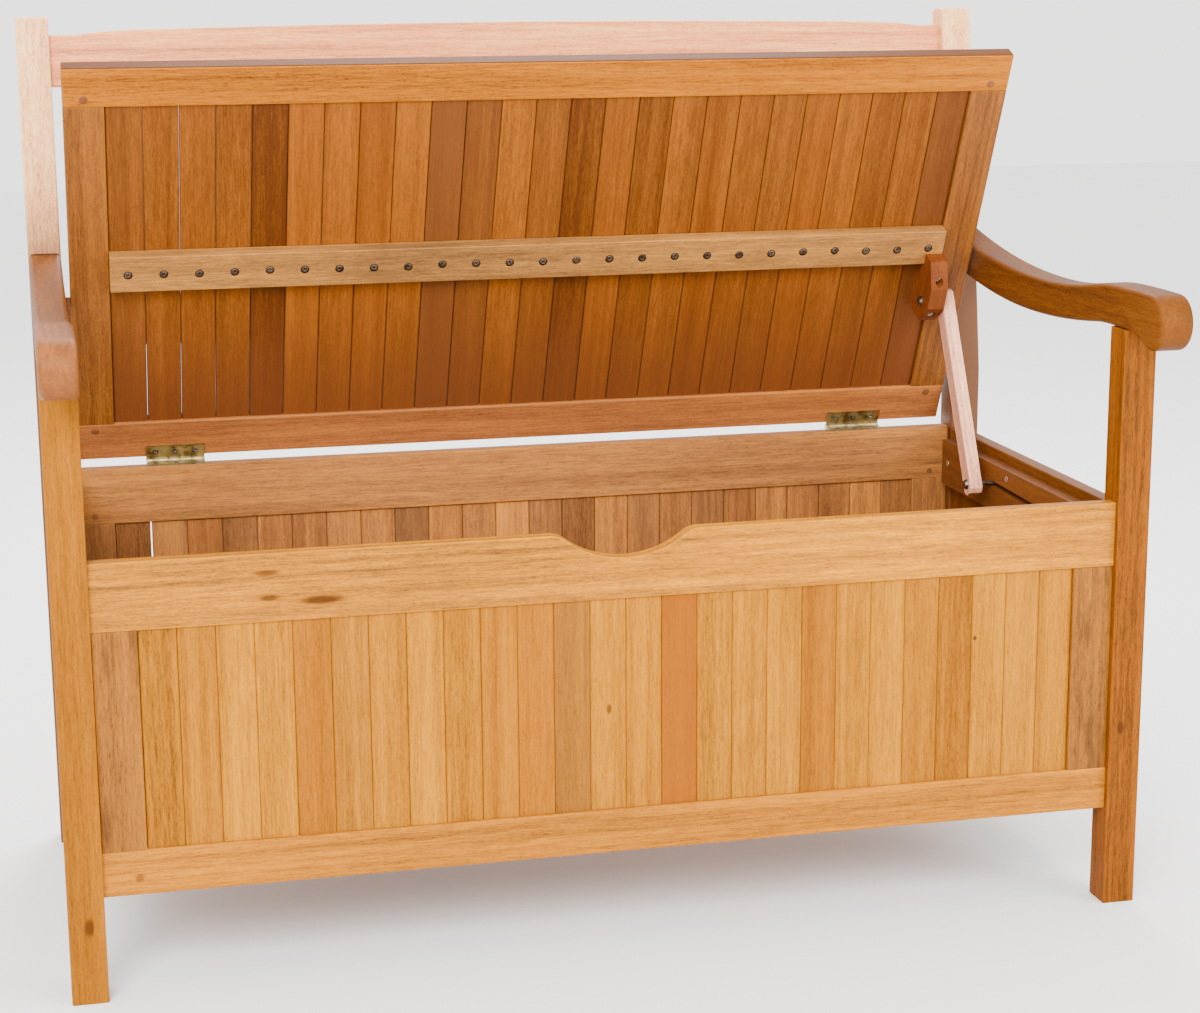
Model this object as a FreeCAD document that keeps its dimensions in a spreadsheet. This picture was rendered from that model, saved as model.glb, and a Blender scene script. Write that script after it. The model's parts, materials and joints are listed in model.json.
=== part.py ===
import FreeCAD, Part
import math
import os

import Sketcher

# Settle bench with a box under its seat. Millimetres, +Z up, the front faces -Y and X runs to the
# viewer's right. The origin lies on the floor under the middle of the bench. The lid is drawn open,
# propped by a wooden strut whose lower bolt slides in a guide board inside the box.

doc = FreeCAD.newDocument("settle_bench")
sheet = doc.addObject("Spreadsheet::Sheet", "Sizes")
V = FreeCAD.Vector


class Size:
    """A length or angle that knows its value and how the sheet's cells give it."""

    def __init__(self, value, text):
        self.value = float(value)
        self.text = text

    def __add__(self, other):
        other = plain(other)
        return Size(self.value + other.value, "(%s + %s)" % (self.text, other.text))

    def __radd__(self, other):
        return plain(other) + self

    def __sub__(self, other):
        other = plain(other)
        return Size(self.value - other.value, "(%s - %s)" % (self.text, other.text))

    def __rsub__(self, other):
        return plain(other) - self

    def __mul__(self, other):
        other = plain(other)
        return Size(self.value * other.value, "(%s * %s)" % (self.text, other.text))

    def __rmul__(self, other):
        return plain(other) * self

    def __truediv__(self, other):
        other = plain(other)
        return Size(self.value / other.value, "(%s / %s)" % (self.text, other.text))

    def __neg__(self):
        return Size(-self.value, "(0 - %s)" % self.text)


def plain(number):
    """Take a bare number or a Size as a Size."""
    if isinstance(number, Size):
        return number
    return Size(number, repr(float(number)))


def sin(angle):
    return Size(math.sin(math.radians(angle.value)), "sin(%s * 1deg)" % angle.text)


def cos(angle):
    return Size(math.cos(math.radians(angle.value)), "cos(%s * 1deg)" % angle.text)


def tan(angle):
    return Size(math.tan(math.radians(angle.value)), "tan(%s * 1deg)" % angle.text)


def atan(ratio):
    return Size(math.degrees(math.atan(ratio.value)), "(atan(%s) / 1deg)" % ratio.text)


def acos(ratio):
    return Size(math.degrees(math.acos(ratio.value)), "(acos(%s) / 1deg)" % ratio.text)


def size(name, value):
    """Write one driving dimension into the sheet and hand it back as a Size."""
    size.row += 1
    sheet.set("A%d" % size.row, name)
    sheet.set("B%d" % size.row, str(value))
    sheet.setAlias("B%d" % size.row, name)
    return Size(value, "Sizes." + name)


size.row = 0

# Overall sizes
overall_width = size("overall_width", 1100)
overall_height = size("overall_height", 920)
frame_depth = size("frame_depth", 498)
leg_side = size("leg_side", 35)
bend_height = size("bend_height", 498)
back_rake = size("back_rake", 8.1)
post_round = size("post_round", 9)

# Boards of the box
board_thickness = size("board_thickness", 17)
rail_setback = size("rail_setback", 7)
box_top = size("box_top", 432)
top_rail_bottom = size("top_rail_bottom", 365)
bottom_rail_top = size("bottom_rail_top", 149)
bottom_rail_bottom = size("bottom_rail_bottom", 104)
stile_width = size("stile_width", 43)
tenon_thickness = size("tenon_thickness", 9)
tenon_length = size("tenon_length", 12)
tenon_shoulder = size("tenon_shoulder", 8)
stile_tenon_length = size("stile_tenon_length", 24)
stile_tenon_thickness = size("stile_tenon_thickness", 8)
scoop_half_width = size("scoop_half_width", 75)
scoop_depth = size("scoop_depth", 25.5)
scoop_shoulder_radius = size("scoop_shoulder_radius", 25)

# Slats
slat_thickness = size("slat_thickness", 10)
slat_chamfer = size("slat_chamfer", 1.5)
slat_tongue = size("slat_tongue", 7.5)
groove_depth = size("groove_depth", 8)
front_slat_count = size("front_slat_count", 26)
front_slat_gap = size("front_slat_gap", 0.4)
rear_slat_count = size("rear_slat_count", 24)
rear_slat_gap = size("rear_slat_gap", 1.6)
side_slat_count = size("side_slat_count", 12)
side_slat_gap = size("side_slat_gap", 0.4)
lid_slat_count = size("lid_slat_count", 25)
lid_slat_gap = size("lid_slat_gap", 0.6)
back_slat_count = size("back_slat_count", 16)
back_slat_width = size("back_slat_width", 34)
back_slat_end_gap = size("back_slat_end_gap", 25.5)

# Back rest
back_setback = size("back_setback", 8)
crest_bottom = size("crest_bottom", 353)
crest_end_height = size("crest_end_height", 55)
crest_knee_rise = size("crest_knee_rise", 5)
crest_rise = size("crest_rise", 9.5)
crest_knee_inset = size("crest_knee_inset", 88)
crest_flat = size("crest_flat", 26)
crest_end_radius = size("crest_end_radius", 600)
lower_back_rail_bottom = size("lower_back_rail_bottom", 69)
lower_back_rail_height = size("lower_back_rail_height", 55)

# Arms
arm_seat = size("arm_seat", 610)
arm_front_thickness = size("arm_front_thickness", 42.5)
arm_rear_thickness = size("arm_rear_thickness", 41)
arm_rear_rise = size("arm_rear_rise", 17)
arm_top_drop = size("arm_top_drop", 16)
arm_top_level = size("arm_top_level", 20)
arm_top_dip = size("arm_top_dip", 214)
arm_top_radius = size("arm_top_radius", 395)
arm_under_drop = size("arm_under_drop", 12)
arm_under_level = size("arm_under_level", 45)
arm_under_dip = size("arm_under_dip", 240)
arm_under_radius = size("arm_under_radius", 300)
nose_radius = size("nose_radius", 28)
nose_reach = size("nose_reach", 80)
nose_chin = size("nose_chin", 22)
nose_cove = size("nose_cove", 12)
cove_radius = size("cove_radius", 90)
leg_tenon_side = size("leg_tenon_side", 16)
leg_tenon_height = size("leg_tenon_height", 22)
arm_tenon_length = size("arm_tenon_length", 15)
arm_tenon_height = size("arm_tenon_height", 22)

# Floor of the box
cleat_side = size("cleat_side", 20)
floor_thickness = size("floor_thickness", 10)
floor_board_count = size("floor_board_count", 12)
floor_board_gap = size("floor_board_gap", 5.5)
floor_end_gap = size("floor_end_gap", 3)
floor_edge_gap = size("floor_edge_gap", 0.5)

# Lid
lid_angle = size("lid_angle", 64.7)
lid_side_gap = size("lid_side_gap", 6)
lid_rest_gap = size("lid_rest_gap", 0.3)
lid_front_rail_width = size("lid_front_rail_width", 44)
lid_rear_rail_width = size("lid_rear_rail_width", 47.5)
lid_stile_width = size("lid_stile_width", 41.5)
batten_offset = size("batten_offset", 5.5)
batten_width = size("batten_width", 43)
batten_thickness = size("batten_thickness", 15)

# Hinges
hinge_inset = size("hinge_inset", 108)
hinge_length = size("hinge_length", 65)
hinge_reach = size("hinge_reach", 20)
hinge_leaf = size("hinge_leaf", 1.5)
hinge_leaf_gap = size("hinge_leaf_gap", 0.6)
hinge_barrel_radius = size("hinge_barrel_radius", 4)
hinge_barrel_gap = size("hinge_barrel_gap", 0.5)
hinge_pin_radius = size("hinge_pin_radius", 1.6)
hinge_pin_clearance = size("hinge_pin_clearance", 0.06)
knuckle_count = size("knuckle_count", 5)
knuckle_gap = size("knuckle_gap", 0.3)
hinge_hole_diameter = size("hinge_hole_diameter", 4)
hinge_hole_pitch = size("hinge_hole_pitch", 22)
hinge_hole_reach = size("hinge_hole_reach", 12)

# Lid stay
block_length = size("block_length", 79)
block_before_batten = size("block_before_batten", 65)
block_width = size("block_width", 20)
block_height = size("block_height", 46)
block_side_height = size("block_side_height", 29)
block_nose = size("block_nose", 26)
block_pocket_diameter = size("block_pocket_diameter", 9)
block_pocket_rear = size("block_pocket_rear", 12)
block_pocket_front = size("block_pocket_front", 20)
block_pocket_depth = size("block_pocket_depth", 13)
stay_pivot_reach = size("stay_pivot_reach", 23.5)
stay_pivot_drop = size("stay_pivot_drop", 24)
strut_front_gap = size("strut_front_gap", 51.3)
strut_width = size("strut_width", 21)
strut_thickness = size("strut_thickness", 15)
strut_end = size("strut_end", 12)
strut_clip = size("strut_clip", 5)
strut_gap = size("strut_gap", 2)
washer_diameter = size("washer_diameter", 16)
washer_clearance = size("washer_clearance", 0.2)
bolt_diameter = size("bolt_diameter", 6)
bolt_clearance = size("bolt_clearance", 0.06)
bolt_head_diameter = size("bolt_head_diameter", 12)
bolt_head_height = size("bolt_head_height", 3)
slide_bolt_diameter = size("slide_bolt_diameter", 5)
slide_head_diameter = size("slide_head_diameter", 11)
slide_head_height = size("slide_head_height", 3.5)
slide_clearance = size("slide_clearance", 0.35)
slot_height = size("slot_height", 394.8)
slot_end_play = size("slot_end_play", 0.6)
slot_track_share = size("slot_track_share", 0.75)
guide_thickness = size("guide_thickness", 15)
guide_height = size("guide_height", 53)
guide_bottom = size("guide_bottom", 364)
guide_front_gap = size("guide_front_gap", 5)
guide_rear_gap = size("guide_rear_gap", 13)
guide_lip = size("guide_lip", 7)
doc.recompute()

parts = {}
names = ("left", "right")


# Helpers that draw with the sheet's cells

def bind(item, prop, value):
    """Bind one property to a Size."""
    item.setExpression(prop, plain(value).text)


def settle(item, x=0, y=0, z=0):
    """Bind the item's place."""
    bind(item, "Placement.Base.x", x)
    bind(item, "Placement.Base.y", y)
    bind(item, "Placement.Base.z", z)


def keep(name, item):
    """List the item as a finished piece under the name of its file."""
    item.Label = name
    parts[name] = item
    return item


def box(name, x0, x1, y0, y1, z0, z1):
    item = doc.addObject("Part::Box", name)
    bind(item, "Length", plain(x1) - x0)
    bind(item, "Width", plain(y1) - y0)
    bind(item, "Height", plain(z1) - z0)
    settle(item, x0, y0, z0)
    return item


turns = {
    "X": FreeCAD.Rotation(V(0, 1, 0), 90),
    "-X": FreeCAD.Rotation(V(0, 1, 0), -90),
    "Y": FreeCAD.Rotation(V(1, 0, 0), -90),
    "-Y": FreeCAD.Rotation(V(1, 0, 0), 90),
    "Z": FreeCAD.Rotation(),
    "-Z": FreeCAD.Rotation(V(1, 0, 0), 180),
}


def rod(name, way, radius, length, x, y, z):
    """A cylinder from a point along one axis."""
    item = doc.addObject("Part::Cylinder", name)
    item.Placement = FreeCAD.Placement(V(), turns[way])
    bind(item, "Radius", radius)
    bind(item, "Height", length)
    settle(item, x, y, z)
    return item


def small_hole(name, radius, length, x, y, z):
    """A twelve-sided prism along Z for a screw's hole."""
    item = doc.addObject("Part::Prism", name)
    item.Polygon = 12
    bind(item, "Circumradius", radius)
    bind(item, "Height", length)
    settle(item, x, y, z)
    return item


def taper(name, way, radius1, radius2, length, x, y, z):
    """A cone from a point along one axis."""
    item = doc.addObject("Part::Cone", name)
    item.Placement = FreeCAD.Placement(V(), turns[way])
    bind(item, "Radius1", radius1)
    bind(item, "Radius2", radius2)
    bind(item, "Height", length)
    settle(item, x, y, z)
    return item


def fuse(name, items):
    item = doc.addObject("Part::MultiFuse", name)
    item.Shapes = items
    return item


def cut(name, base, tools):
    tool = tools[0] if len(tools) == 1 else fuse(name + "_tools", tools)
    item = doc.addObject("Part::Cut", name)
    item.Base = base
    item.Tool = tool
    return item


def group(name, items):
    item = doc.addObject("Part::Compound", name)
    item.Links = items
    return item


def span(side, inner, outer):
    """The left and right ends of a stretch on one side of the bench."""
    if side > 0:
        return plain(inner), plain(outer)
    return -plain(outer), -plain(inner)


def sketch(body, name, plane, points, arcs=None):
    """A closed outline whose corners are bound to the sheet.

    arcs maps the number of a stretch to (radius, hollow): a stretch that bends round that radius,
    hollow when it bends into the outline. Corners run anticlockwise.
    """
    arcs = arcs or {}
    item = body.newObject("Sketcher::SketchObject", name)
    origin = [o for o in body.Origin.OriginFeatures if o.Role == plane][0]
    item.AttachmentSupport = [(origin, "")]
    item.MapMode = "FlatFace"
    points = [(plain(x), plain(y)) for x, y in points]
    count = len(points)
    flipped = {}
    for i in range(count):
        a = V(points[i][0].value, points[i][1].value, 0)
        b = V(points[(i + 1) % count][0].value, points[(i + 1) % count][1].value, 0)
        flipped[i] = False
        if i in arcs:
            radius, hollow = arcs[i]
            chord = b - a
            side = V(-chord.y, chord.x, 0).normalize() * (-1 if hollow else 1)
            lift = math.sqrt(max(plain(radius).value ** 2 - (chord.Length / 2) ** 2, 0))
            centre = (a + b) * 0.5 + side * lift
            circle = Part.Circle(centre, V(0, 0, 1), plain(radius).value)
            first, last = (b, a) if hollow else (a, b)
            flipped[i] = hollow
            start = math.atan2(first.y - centre.y, first.x - centre.x)
            end = math.atan2(last.y - centre.y, last.x - centre.x)
            item.addGeometry(Part.ArcOfCircle(circle, start, end), False)
        else:
            item.addGeometry(Part.LineSegment(a, b), False)
    for i in range(count):
        after = (i + 1) % count
        own_end = 1 if flipped[i] else 2
        next_start = 2 if flipped[after] else 1
        item.addConstraint(Sketcher.Constraint("Coincident", i, own_end, after, next_start))
    for i, (x, y) in enumerate(points):
        start = 2 if flipped[i] else 1
        for kind, value in (("DistanceX", x), ("DistanceY", y)):
            number = item.addConstraint(Sketcher.Constraint(kind, -1, 1, i, start, value.value))
            item.setExpression("Constraints[%d]" % number, value.text)
    for i, (radius, hollow) in arcs.items():
        number = item.addConstraint(Sketcher.Constraint("Radius", i, plain(radius).value))
        item.setExpression("Constraints[%d]" % number, plain(radius).text)
    return item


def padded(name, plane, points, depth, arcs=None):
    """A body made by one pad; it grows along the plane's own normal."""
    body = doc.addObject("PartDesign::Body", name)
    profile = sketch(body, name + "_outline", plane, points, arcs)
    doc.recompute()
    pad = body.newObject("PartDesign::Pad", name + "_pad")
    pad.Profile = profile
    bind(pad, "Length", depth)
    body.Tip = pad
    return body


def row_of(body, name, axis, pitch, count):
    """Repeat a body's pad along one axis of its origin."""
    doc.recompute()
    pattern = body.newObject("PartDesign::LinearPattern", name + "_row")
    pattern.Originals = [body.Tip]
    pattern.Direction = ([o for o in body.Origin.OriginFeatures if o.Role == axis][0], [""])
    bind(pattern, "Length", plain(pitch) * (plain(count) - 1))
    bind(pattern, "Occurrences", count)
    body.Tip = pattern
    return body


# Shared places
half_width = overall_width / 2
leg_inner = half_width - leg_side
rake_run = tan(back_rake) * (overall_height - bend_height)
rear_reach = frame_depth + rake_run - tan(back_rake) * post_round
front_y = nose_reach - (nose_reach + rear_reach) / 2
post_y = front_y + frame_depth - leg_side
front_rail_y = front_y + rail_setback
rear_rail_y = front_y + frame_depth - rail_setback - board_thickness
rear_face_y = rear_rail_y + board_thickness
side_inner = leg_inner
side_outer = leg_inner + board_thickness
opening_half = leg_inner - stile_width
lid_under = box_top + lid_rest_gap
rear_top = lid_under - hinge_leaf * 2 - hinge_leaf_gap
hinge_z = rear_top + hinge_leaf + hinge_leaf_gap / 2
lid_edge = hinge_barrel_radius + hinge_barrel_gap
hinge_y = rear_face_y + lid_edge
lid_half = leg_inner - lid_side_gap
lid_depth = rear_face_y - front_rail_y
lid_w = lid_under - hinge_z
lid_inner_rear = lid_edge + lid_rear_rail_width
lid_inner_front = lid_edge + lid_depth - lid_front_rail_width
lid_stile_inner = lid_half - lid_stile_width
side_depth = frame_depth - leg_side * 2
groove_side = (board_thickness - slat_thickness) / 2
slat_w = lid_w + groove_side
batten_w = slat_w - batten_thickness
batten_place = (lid_depth - batten_width) / 2 + batten_offset
block_place = batten_place - block_before_batten
pivot_u = lid_edge + block_place + stay_pivot_reach
pivot_w = lid_w - stay_pivot_drop
hinge_place = lid_half - hinge_inset
back_slat_pitch = ((leg_inner - back_slat_end_gap) * 2 - back_slat_width) / (back_slat_count - 1)


# Rails, stiles and their joints

def tenons(name, y, z0, z1):
    """The two end tenons of a rail that runs along X between the legs."""
    half = tenon_thickness / 2
    items = []
    for side, hand in zip((-1, 1), names):
        x0, x1 = span(side, leg_inner, leg_inner + tenon_length)
        items.append(box("%s_%s" % (name, hand), x0, x1, y - half, y + half, z0 + tenon_shoulder,
                         z1 - tenon_shoulder))
    return items


def joints(name, middle, z0, z1, groove_up):
    """The groove and mortises of a rail that runs along X."""
    edge = z1 if groove_up else z0
    inward = -1 if groove_up else 1
    half = slat_thickness / 2
    depth = edge + groove_depth * inward
    low, high = (depth, edge) if groove_up else (edge, depth)
    tools = [box(name + "_groove", -opening_half, opening_half, middle - half, middle + half, low, high)]
    tenon_half = stile_tenon_thickness / 2
    reach = edge + stile_tenon_length * inward
    low, high = (reach, edge) if groove_up else (edge, reach)
    for side, word in zip((-1, 1), names):
        x0, x1 = span(side, opening_half + tenon_shoulder, leg_inner - tenon_shoulder)
        tools.append(box(name + "_mortise_" + word, x0, x1, middle - tenon_half, middle + tenon_half,
                         low, high))
    return tools


def panel(word, y0, top):
    """One long wall of the box: two rails and two stiles."""
    middle = y0 + board_thickness / 2
    levels = (("top_rail", top_rail_bottom, top, False),
              ("bottom_rail", bottom_rail_bottom, bottom_rail_top, True))
    for kind, z0, z1, groove_up in levels:
        name = word + "_" + kind
        if name == "front_top_rail":
            base = scooped_board(name + "_board", y0, z0, z1)
        else:
            base = box(name + "_board", -leg_inner, leg_inner, y0, y0 + board_thickness, z0, z1)
        blank = fuse(name + "_blank", [base] + tenons(name + "_tenon", middle, z0, z1))
        keep(name, cut(name, blank, joints(name, middle, z0, z1, groove_up)))
    for side, hand in zip((-1, 1), names):
        name = word + "_stile_" + hand
        x0, x1 = span(side, opening_half, leg_inner)
        board = box(name + "_board", x0, x1, y0, y0 + board_thickness, bottom_rail_top, top_rail_bottom)
        x0, x1 = span(side, opening_half + tenon_shoulder, leg_inner - tenon_shoulder)
        half = stile_tenon_thickness / 2
        tongue = box(name + "_tenon", x0, x1, middle - half, middle + half,
                     bottom_rail_top - stile_tenon_length, top_rail_bottom + stile_tenon_length)
        keep(name, fuse(name, [board, tongue]))


def scooped_board(name, y0, z0, z1):
    """The front top rail's board, with the hand scoop in its top edge."""
    sum_of_radii = (scoop_half_width * scoop_half_width + scoop_depth * scoop_depth) / (scoop_depth * 2)
    bowl_radius = sum_of_radii - scoop_shoulder_radius
    turn_x = scoop_half_width * bowl_radius / sum_of_radii
    turn_z = z1 - scoop_shoulder_radius * scoop_depth / sum_of_radii
    points = [(-leg_inner, z0), (leg_inner, z0), (leg_inner, z1), (scoop_half_width, z1), (turn_x, turn_z),
              (-turn_x, turn_z), (-scoop_half_width, z1), (-leg_inner, z1)]
    arcs = {3: (scoop_shoulder_radius, False), 4: (bowl_radius, True), 5: (scoop_shoulder_radius, False)}
    body = padded(name, "XZ_Plane", points, board_thickness, arcs)
    settle(body, 0, y0 + board_thickness, 0)
    return body


panel("front", front_rail_y, box_top)
panel("rear", rear_rail_y, rear_top)


def slat_profile(across, thick):
    """The section of a slat, its face edges chamfered on the lower side of the sketch."""
    c = slat_chamfer
    return [(c, 0), (across - c, 0), (across, c), (across, thick), (0, thick), (0, c)]


def upright_slats(name, count, gap, middle, face_front):
    """The slats of a long wall, standing in the grooves of its two rails."""
    pitch = opening_half * 2 / count
    width = pitch - gap
    body = padded(name, "XY_Plane", slat_profile(width, slat_thickness),
                  top_rail_bottom - bottom_rail_top + slat_tongue * 2)
    row_of(body, name, "X_Axis", pitch, count)
    if face_front:
        settle(body, gap / 2 - opening_half, middle - slat_thickness / 2, bottom_rail_top - slat_tongue)
    else:
        body.Placement = FreeCAD.Placement(V(), FreeCAD.Rotation(V(0, 0, 1), 180))
        settle(body, opening_half - gap / 2, middle + slat_thickness / 2, bottom_rail_top - slat_tongue)
    return keep(name, body)


upright_slats("front_slats", front_slat_count, front_slat_gap, front_rail_y + board_thickness / 2, True)
upright_slats("rear_slats", rear_slat_count, rear_slat_gap, rear_rail_y + board_thickness / 2, False)

# Side walls
side_front_y = front_y + leg_side
side_rear_y = post_y
side_middle = (side_inner + side_outer) / 2

for side, hand in zip((-1, 1), names):
    for kind, z0, z1, groove_up in (("top_rail", top_rail_bottom, rear_top, False),
                                    ("bottom_rail", bottom_rail_bottom, bottom_rail_top, True)):
        name = "%s_side_%s" % (hand, kind)
        x0, x1 = span(side, side_inner, side_outer)
        base = box(name + "_board", x0, x1, side_front_y, side_rear_y, z0, z1)
        x0, x1 = span(side, side_middle - tenon_thickness / 2, side_middle + tenon_thickness / 2)
        tongue = box(name + "_tenon", x0, x1, side_front_y - tenon_length, side_rear_y + tenon_length,
                     z0 + tenon_shoulder, z1 - tenon_shoulder)
        x0, x1 = span(side, side_middle - slat_thickness / 2, side_middle + slat_thickness / 2)
        low, high = (z1 - groove_depth, z1) if groove_up else (z0, z0 + groove_depth)
        tools = [box(name + "_groove", x0, x1, side_front_y, side_rear_y, low, high)]
        keep(name, cut(name, fuse(name + "_blank", [base, tongue]), tools))
    name = hand + "_side_slats"
    pitch = side_depth / side_slat_count
    c = slat_chamfer
    width = pitch - side_slat_gap
    face = [(c, 0), (slat_thickness, 0), (slat_thickness, width), (c, width), (0, width - c), (0, c)]
    body = padded(name, "XY_Plane", face, top_rail_bottom - bottom_rail_top + slat_tongue * 2)
    row_of(body, name, "Y_Axis", pitch, side_slat_count)
    if side < 0:
        settle(body, -side_middle - slat_thickness / 2, side_front_y + side_slat_gap / 2,
               bottom_rail_top - slat_tongue)
    else:
        body.Placement = FreeCAD.Placement(V(), FreeCAD.Rotation(V(0, 0, 1), 180))
        settle(body, side_middle + slat_thickness / 2, side_rear_y - side_slat_gap / 2,
               bottom_rail_top - slat_tongue)
    keep(name, body)


# Floor of the box
cleat_z = bottom_rail_bottom
front_inside_y = front_rail_y + board_thickness
keep("floor_cleat_front", box("floor_cleat_front", -leg_inner, leg_inner, front_inside_y,
                              front_inside_y + cleat_side, cleat_z, cleat_z + cleat_side))
keep("floor_cleat_rear", box("floor_cleat_rear", -leg_inner, leg_inner, rear_rail_y - cleat_side,
                             rear_rail_y, cleat_z, cleat_z + cleat_side))
floor_half = leg_inner - floor_end_gap
floor_pitch = (floor_half * 2 + floor_board_gap) / floor_board_count
floor_length = rear_rail_y - front_inside_y - floor_edge_gap * 2
floor_outline = [(0, 0), (floor_pitch - floor_board_gap, 0), (floor_pitch - floor_board_gap, floor_length),
                 (0, floor_length)]
floor = padded("floor_boards", "XY_Plane", floor_outline, floor_thickness)
row_of(floor, "floor_boards", "X_Axis", floor_pitch, floor_board_count)
settle(floor, -floor_half, front_inside_y + floor_edge_gap, cleat_z + cleat_side)
keep("floor_boards", floor)


# Legs, posts and arms

def rail_mortises(name, side, y, levels):
    """Mortises in the inner face of a leg for the rails that run along X."""
    half = tenon_thickness / 2
    x0, x1 = span(side, leg_inner, leg_inner + tenon_length)
    return [box("%s_mortise_%d" % (name, number), x0, x1, y - half, y + half,
                z0 + tenon_shoulder, z1 - tenon_shoulder) for number, (z0, z1) in enumerate(levels)]


def side_mortises(name, side, y0, y1):
    """Mortises for the tenons of the side rails."""
    x0, x1 = span(side, side_middle - tenon_thickness / 2, side_middle + tenon_thickness / 2)
    levels = ((bottom_rail_bottom, bottom_rail_top), (top_rail_bottom, rear_top))
    return [box("%s_side_mortise_%d" % (name, number), x0, x1, y0, y1, z0 + tenon_shoulder,
                z1 - tenon_shoulder)
            for number, (z0, z1) in enumerate(levels)]


def slope_y(z):
    """How far the raked part of the post has moved back at a height."""
    return tan(back_rake) * (z - bend_height)


arm_x = leg_inner + leg_side / 2
leg_middle_y = front_y + leg_side / 2
arm_rear_bottom = arm_seat + arm_rear_rise
arm_rear_top = arm_rear_bottom + arm_rear_thickness
arm_tenon_bottom = arm_rear_bottom + (arm_rear_thickness - arm_tenon_height) / 2
arm_tenon_top = arm_tenon_bottom + arm_tenon_height


def leg_tenon(name, side):
    """The tenon on a front leg's top, which is also the arm's mortise."""
    half = leg_tenon_side / 2
    x0, x1 = span(side, arm_x - half, arm_x + half)
    return box(name, x0, x1, leg_middle_y - half, leg_middle_y + half, arm_seat, arm_seat + leg_tenon_height)


def arm_tenon(name, side):
    """The tenon on an arm's rear end, which is also the post's mortise; it starts inside the arm."""
    half = leg_tenon_side / 2
    x0, x1 = span(side, arm_x - half, arm_x + half)
    face = post_y + slope_y(arm_tenon_bottom)
    return box(name, x0, x1, face - arm_tenon_length, face + arm_tenon_length, arm_tenon_bottom,
               arm_tenon_top)


def raked(item, x=0, v=0, r=0):
    """Lean a piece with the back: v runs rearwards and r runs up the slope from the bend."""
    item.Placement = FreeCAD.Placement(V(), FreeCAD.Rotation(V(1, 0, 0), -1))
    bind(item, "Placement.Rotation.Angle", -back_rake)
    bind(item, "Placement.Base.x", x)
    bind(item, "Placement.Base.y", post_y + cos(back_rake) * v + sin(back_rake) * r)
    bind(item, "Placement.Base.z", bend_height - sin(back_rake) * v + cos(back_rake) * r)
    return item


back_levels = ((lower_back_rail_bottom, lower_back_rail_bottom + lower_back_rail_height),
               (crest_bottom, crest_bottom + crest_end_height))
back_v = back_setback
for side, hand in zip((-1, 1), names):
    name = "front_leg_" + hand
    x0, x1 = span(side, leg_inner, half_width)
    base = box(name + "_blank", x0, x1, front_y, front_y + leg_side, 0, arm_seat)
    middle = front_rail_y + board_thickness / 2
    levels = ((bottom_rail_bottom, bottom_rail_top), (top_rail_bottom, box_top))
    tools = rail_mortises(name, side, middle, levels)
    tools += side_mortises(name, side, side_front_y - tenon_length, side_front_y)
    keep(name, fuse(name, [cut(name + "_body", base, tools), leg_tenon(name + "_tenon", side)]))

    name = "back_post_" + hand
    outline = [(post_y, 0), (post_y + leg_side, 0), (post_y + leg_side, bend_height),
               (post_y + leg_side + rake_run - tan(back_rake) * post_round, overall_height - post_round),
               (post_y + leg_side + rake_run - post_round, overall_height),
               (post_y + rake_run + post_round, overall_height),
               (post_y + rake_run - tan(back_rake) * post_round, overall_height - post_round),
               (post_y, bend_height)]
    base = padded(name + "_blank", "YZ_Plane", outline, leg_side,
                  {3: (post_round * 1.1, False), 5: (post_round * 1.1, False)})
    settle(base, span(side, leg_inner, half_width)[0], 0, 0)
    middle = rear_rail_y + board_thickness / 2
    levels = ((bottom_rail_bottom, bottom_rail_top), (top_rail_bottom, rear_top))
    tools = rail_mortises(name, side, middle, levels)
    tools += side_mortises(name, side, side_rear_y, side_rear_y + tenon_length)
    for number, (r0, r1) in enumerate(back_levels):
        x0, x1 = span(side, leg_inner, leg_inner + tenon_length)
        mortise = box("%s_back_mortise_%d" % (name, number), x0, x1, 0, tenon_thickness, r0 + tenon_shoulder,
                      r1 - tenon_shoulder)
        mortise_v = back_v + (board_thickness - tenon_thickness) / 2
        tools.append(raked(mortise, x0, mortise_v, r0 + tenon_shoulder))
    tools.append(arm_tenon(name + "_arm_mortise", side))
    keep(name, cut(name, base, tools))


def ogee(level, dip, drop, first_radius):
    """The run of two tangent arcs that joins a level stretch to a dip: their turn and second radius."""
    run = dip - level
    turn = atan(drop / run) * 2
    second_radius = run / sin(turn) - first_radius
    return turn, second_radius


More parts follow.
